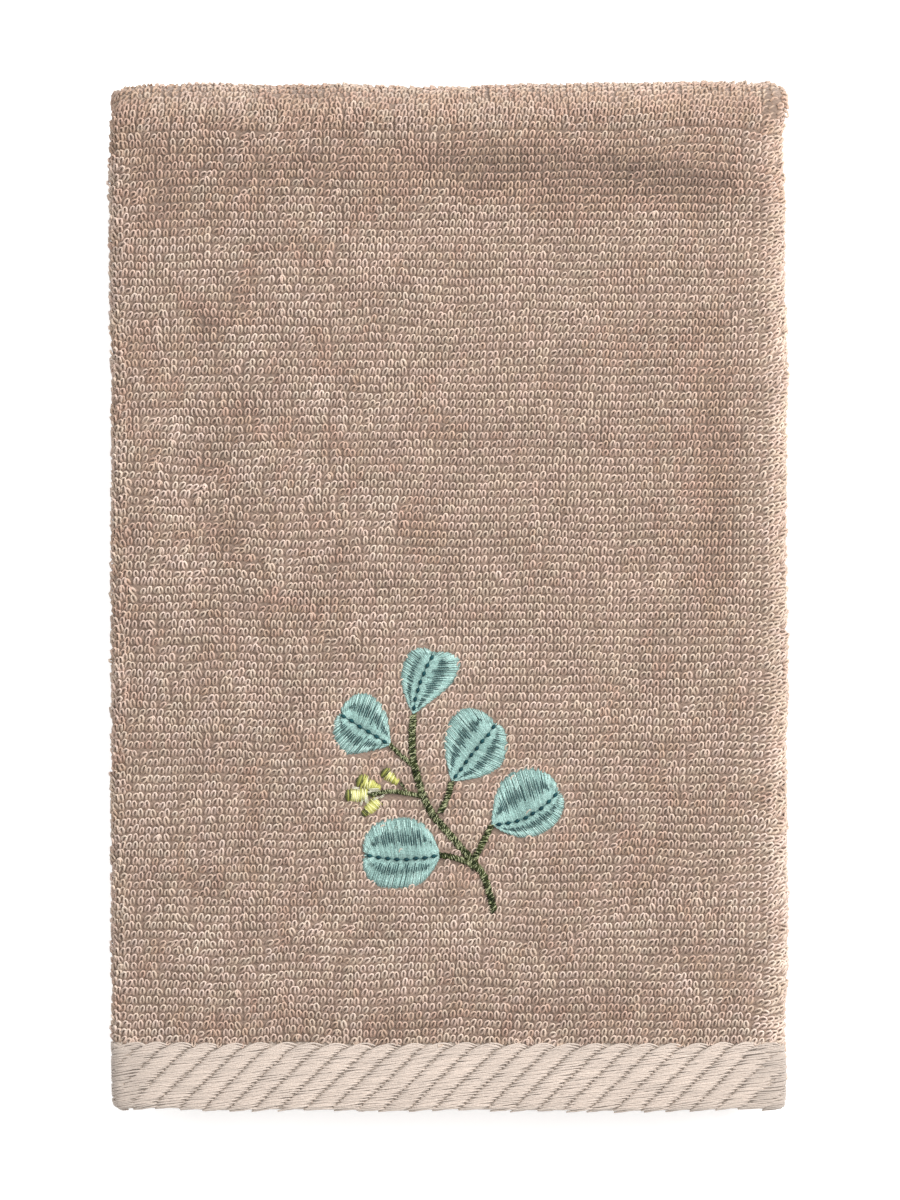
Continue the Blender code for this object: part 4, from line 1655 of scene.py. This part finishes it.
def edge_loops(columns, rng):
    """Stray loops of the last row, fallen over the edge of the band."""
    loops = []
    for column in range(columns):
        if rng.random() < EDGE_GAPS:
            continue
        across = PANEL_START + (column + rng.random()) * PANEL / columns
        along = BAND + rng.uniform(0.2, 0.9) * MM
        loop = loop_at(across, along, rng, rng.uniform(0.6, 0.95), 0.3)
        fallen = Matrix.Rotation(rng.gauss(math.pi, 0.6), 3, "Z")
        loop["turn"] = Vector(fallen.to_euler())
        loops.append(loop)
    return loops


def spaced(start, length, pitch):
    """Places at about a pitch over a length."""
    count = round(length / pitch)
    return [start + (number + 0.5) * length / count for number in range(count)]


def side_loops(rng):
    """The pile round the two side folds of all three strips, and of the two end folds."""
    loops = []
    sides = spaced(LEFT_FOLD_START, math.pi * LEFT_RADIUS, COLUMN_PITCH)
    sides += spaced(RIGHT_FOLD_START, math.pi * RIGHT_RADIUS, COLUMN_PITCH)
    for across in sides:
        turned = max(PANEL_START - across, across - RIGHT_FOLD_START)
        loose = smooth(turned, 1.5 * MM, 4.0 * MM)
        lean = 0.5 + 0.2 * loose if across > RIGHT_FOLD_START else 0.0
        loops += column_of_loops(across, BAND + 0.4 * MM, TOWEL_LENGTH - BAND, rng, loose, lean)
    for from_side in spaced(0.0, PANEL, COLUMN_PITCH):
        across = PANEL_START + from_side
        loops += column_of_loops(across, FRONT_STRIP, MIDDLE_START + 2 * MM, rng, 0.0)
        across = OUTER_FLAP_START + from_side
        if across < TOWEL_WIDTH - 1 * MM:
            loops += column_of_loops(across, BOTTOM_START - 2 * MM, FLOOR_START + 2 * MM, rng)
    return loops


SURFACE_STEP = 0.05 * MM    # a step to measure the folded cloth's stretch with
OFF_FLOOR = 0.6 * MM        # the least height of a loop's foot and tip
TIP_IN_LOOP = Vector((0, 1.4 * MM, 0.9 * MM))
SIDE_SIZE = 1.08
SIDE_ROW = ROW_PITCH * 0.94
STRAIGHT = 0.93             # a loop stands straight up or down past this share


def column_of_loops(across, start, end, rng, loose=0.5, lean=0.0):
    """Loops up a column, a row apart on the cloth's real surface, off the floor."""
    loops = []
    size = SIDE_SIZE + 0.12 * lean
    along = start + rng.uniform(-0.08, 0.08 + 1.2 * loose) * MM
    while along < end:
        here = on_towel(across, along, 0)
        stretch = (on_towel(across, along + SURFACE_STEP, 0) - here).length / SURFACE_STEP
        aside, upward = sway(across, along)
        aside += rng.gauss(0, 0.12) * MM
        upward /= max(stretch, 1.0)
        loop = loop_at(across + aside, along + upward, rng, size, 0.1, loose, lean)
        out = here - loop["place"]
        # Inside the towel, loops that face straight up or down are never seen.
        seen = abs(out.z) < STRAIGHT * out.length or loop["place"].z > HEIGHT - 4 * MM
        tip = loop["place"] + Euler(loop["turn"]).to_matrix() @ TIP_IN_LOOP
        if seen and min(tip.z, loop["place"].z) > OFF_FLOOR:
            loops.append(loop)
        next_row = along + SIDE_ROW / max(stretch, 0.05)
        # No step jumps over the start of the bottom fold, where the cloth is stretched most.
        along = BOTTOM_START if along < BOTTOM_START < next_row else next_row
    return loops


FACE_PIECES = 3


def make_pile():
    """All the pile: the face in three pieces, and the folds."""
    rng = random.Random(1234)
    finish = pile_finish()
    face_kinds = loop_kinds("face_loop", 7, 3, 8)
    rows = face_loops(rng)
    share = math.ceil(len(rows) / FACE_PIECES)
    for number in range(FACE_PIECES):
        loops = [loop for row in rows[number * share:(number + 1) * share] for loop in row]
        plant(f"pile_face_{number + 1}", loops, face_kinds, finish)
    side_kinds = loop_kinds("side_loop", 5, 3, 9)
    loops = side_loops(rng)
    half = len(loops) // 2
    plant("pile_folds_1", loops[:half], side_kinds, finish)
    plant("pile_folds_2", loops[half:], side_kinds, finish)
    for kinds in (face_kinds, side_kinds):
        for shape in list(kinds.objects):
            bpy.data.objects.remove(shape, do_unlink=True)
        bpy.data.collections.remove(kinds)


# ---------------------------------------------------------------- the picture

CAMERA_HEIGHT = 4.0
VIEW_HEIGHT = 240 * MM     # what the picture's 1200 pixels take in, on the towel's face
VIEW_MIDDLE = (0.5 * MM, -0.5 * MM)
SENSOR = 24.0


def make_camera():
    """Straight above, with a long lens."""
    data = bpy.data.cameras.new("camera")
    data.sensor_fit = "VERTICAL"
    data.sensor_height = SENSOR
    data.lens = SENSOR * CAMERA_HEIGHT / VIEW_HEIGHT
    data.clip_start = 0.05
    data.clip_end = 20
    camera = bpy.data.objects.new("camera", data)
    camera.location = (*VIEW_MIDDLE, cad_top() + CAMERA_HEIGHT)
    bpy.context.scene.collection.objects.link(camera)
    bpy.context.scene.camera = camera


def cad_top():
    """The height of the towel's face."""
    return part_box("towel_cloth")[1][2]


# Lamps: name, place, size, watts, colour. All face the towel.
LAMPS = (
    ("key", (0.75, 0.55, 0.72), 0.7, 18.0, (1.0, 0.98, 0.95)),
    ("overhead", (-0.1, 0.1, 1.3), 1.2, 10.0, (1.0, 1.0, 1.0)),
)


SURROUND = 0.55             # how bright the pale surround is


def make_light():
    """A soft key from the upper right, a broad overhead lamp and a pale surround."""
    for name, place, size, watts, colour in LAMPS:
        data = bpy.data.lights.new(name, "AREA")
        data.shape = "SQUARE"
        data.size = size
        data.energy = watts
        data.color = colour
        lamp = bpy.data.objects.new(name, data)
        lamp.location = place
        lamp.rotation_euler = Vector(place).to_track_quat("Z", "Y").to_euler()
        bpy.context.scene.collection.objects.link(lamp)
    world = bpy.data.worlds.new("studio")
    world.use_nodes = True
    backdrop = world.node_tree.nodes["Background"]
    backdrop.inputs["Color"].default_value = WHITE
    backdrop.inputs["Strength"].default_value = SURROUND
    bpy.context.scene.world = world


FLOOR_WHITE = (0.93, 0.93, 0.93)
FLOOR_WHITER = (0.95, 0.95, 0.95)
WHITE = (1.0, 1.0, 1.0, 1.0)


def make_floor():
    """A plain white floor under the towel."""
    bm = bmesh.new()
    bmesh.ops.create_grid(bm, x_segments=1, y_segments=1, size=4.0)
    mesh = mesh_of(bm, "floor")
    material, nodes, surface = finish_tree("floor_white")
    colour = ramp(nodes, cloudy(nodes, 60.0, 3.0), ((0.3, FLOOR_WHITE), (0.7, FLOOR_WHITER)))
    dress(
        nodes, surface, colour, None,
        Roughness=0.85, Emission_Color=WHITE, Emission_Strength=0.4,
    )
    mesh.materials.append(material)
    floor = bpy.data.objects.new("floor", mesh)
    bpy.context.scene.collection.objects.link(floor)


make_camera()
make_light()
make_floor()
ground = make_ground()
make_band()
make_sprig()
make_pile()

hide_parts("towel_cloth")
bpy.context.scene.view_settings.view_transform = "Standard"
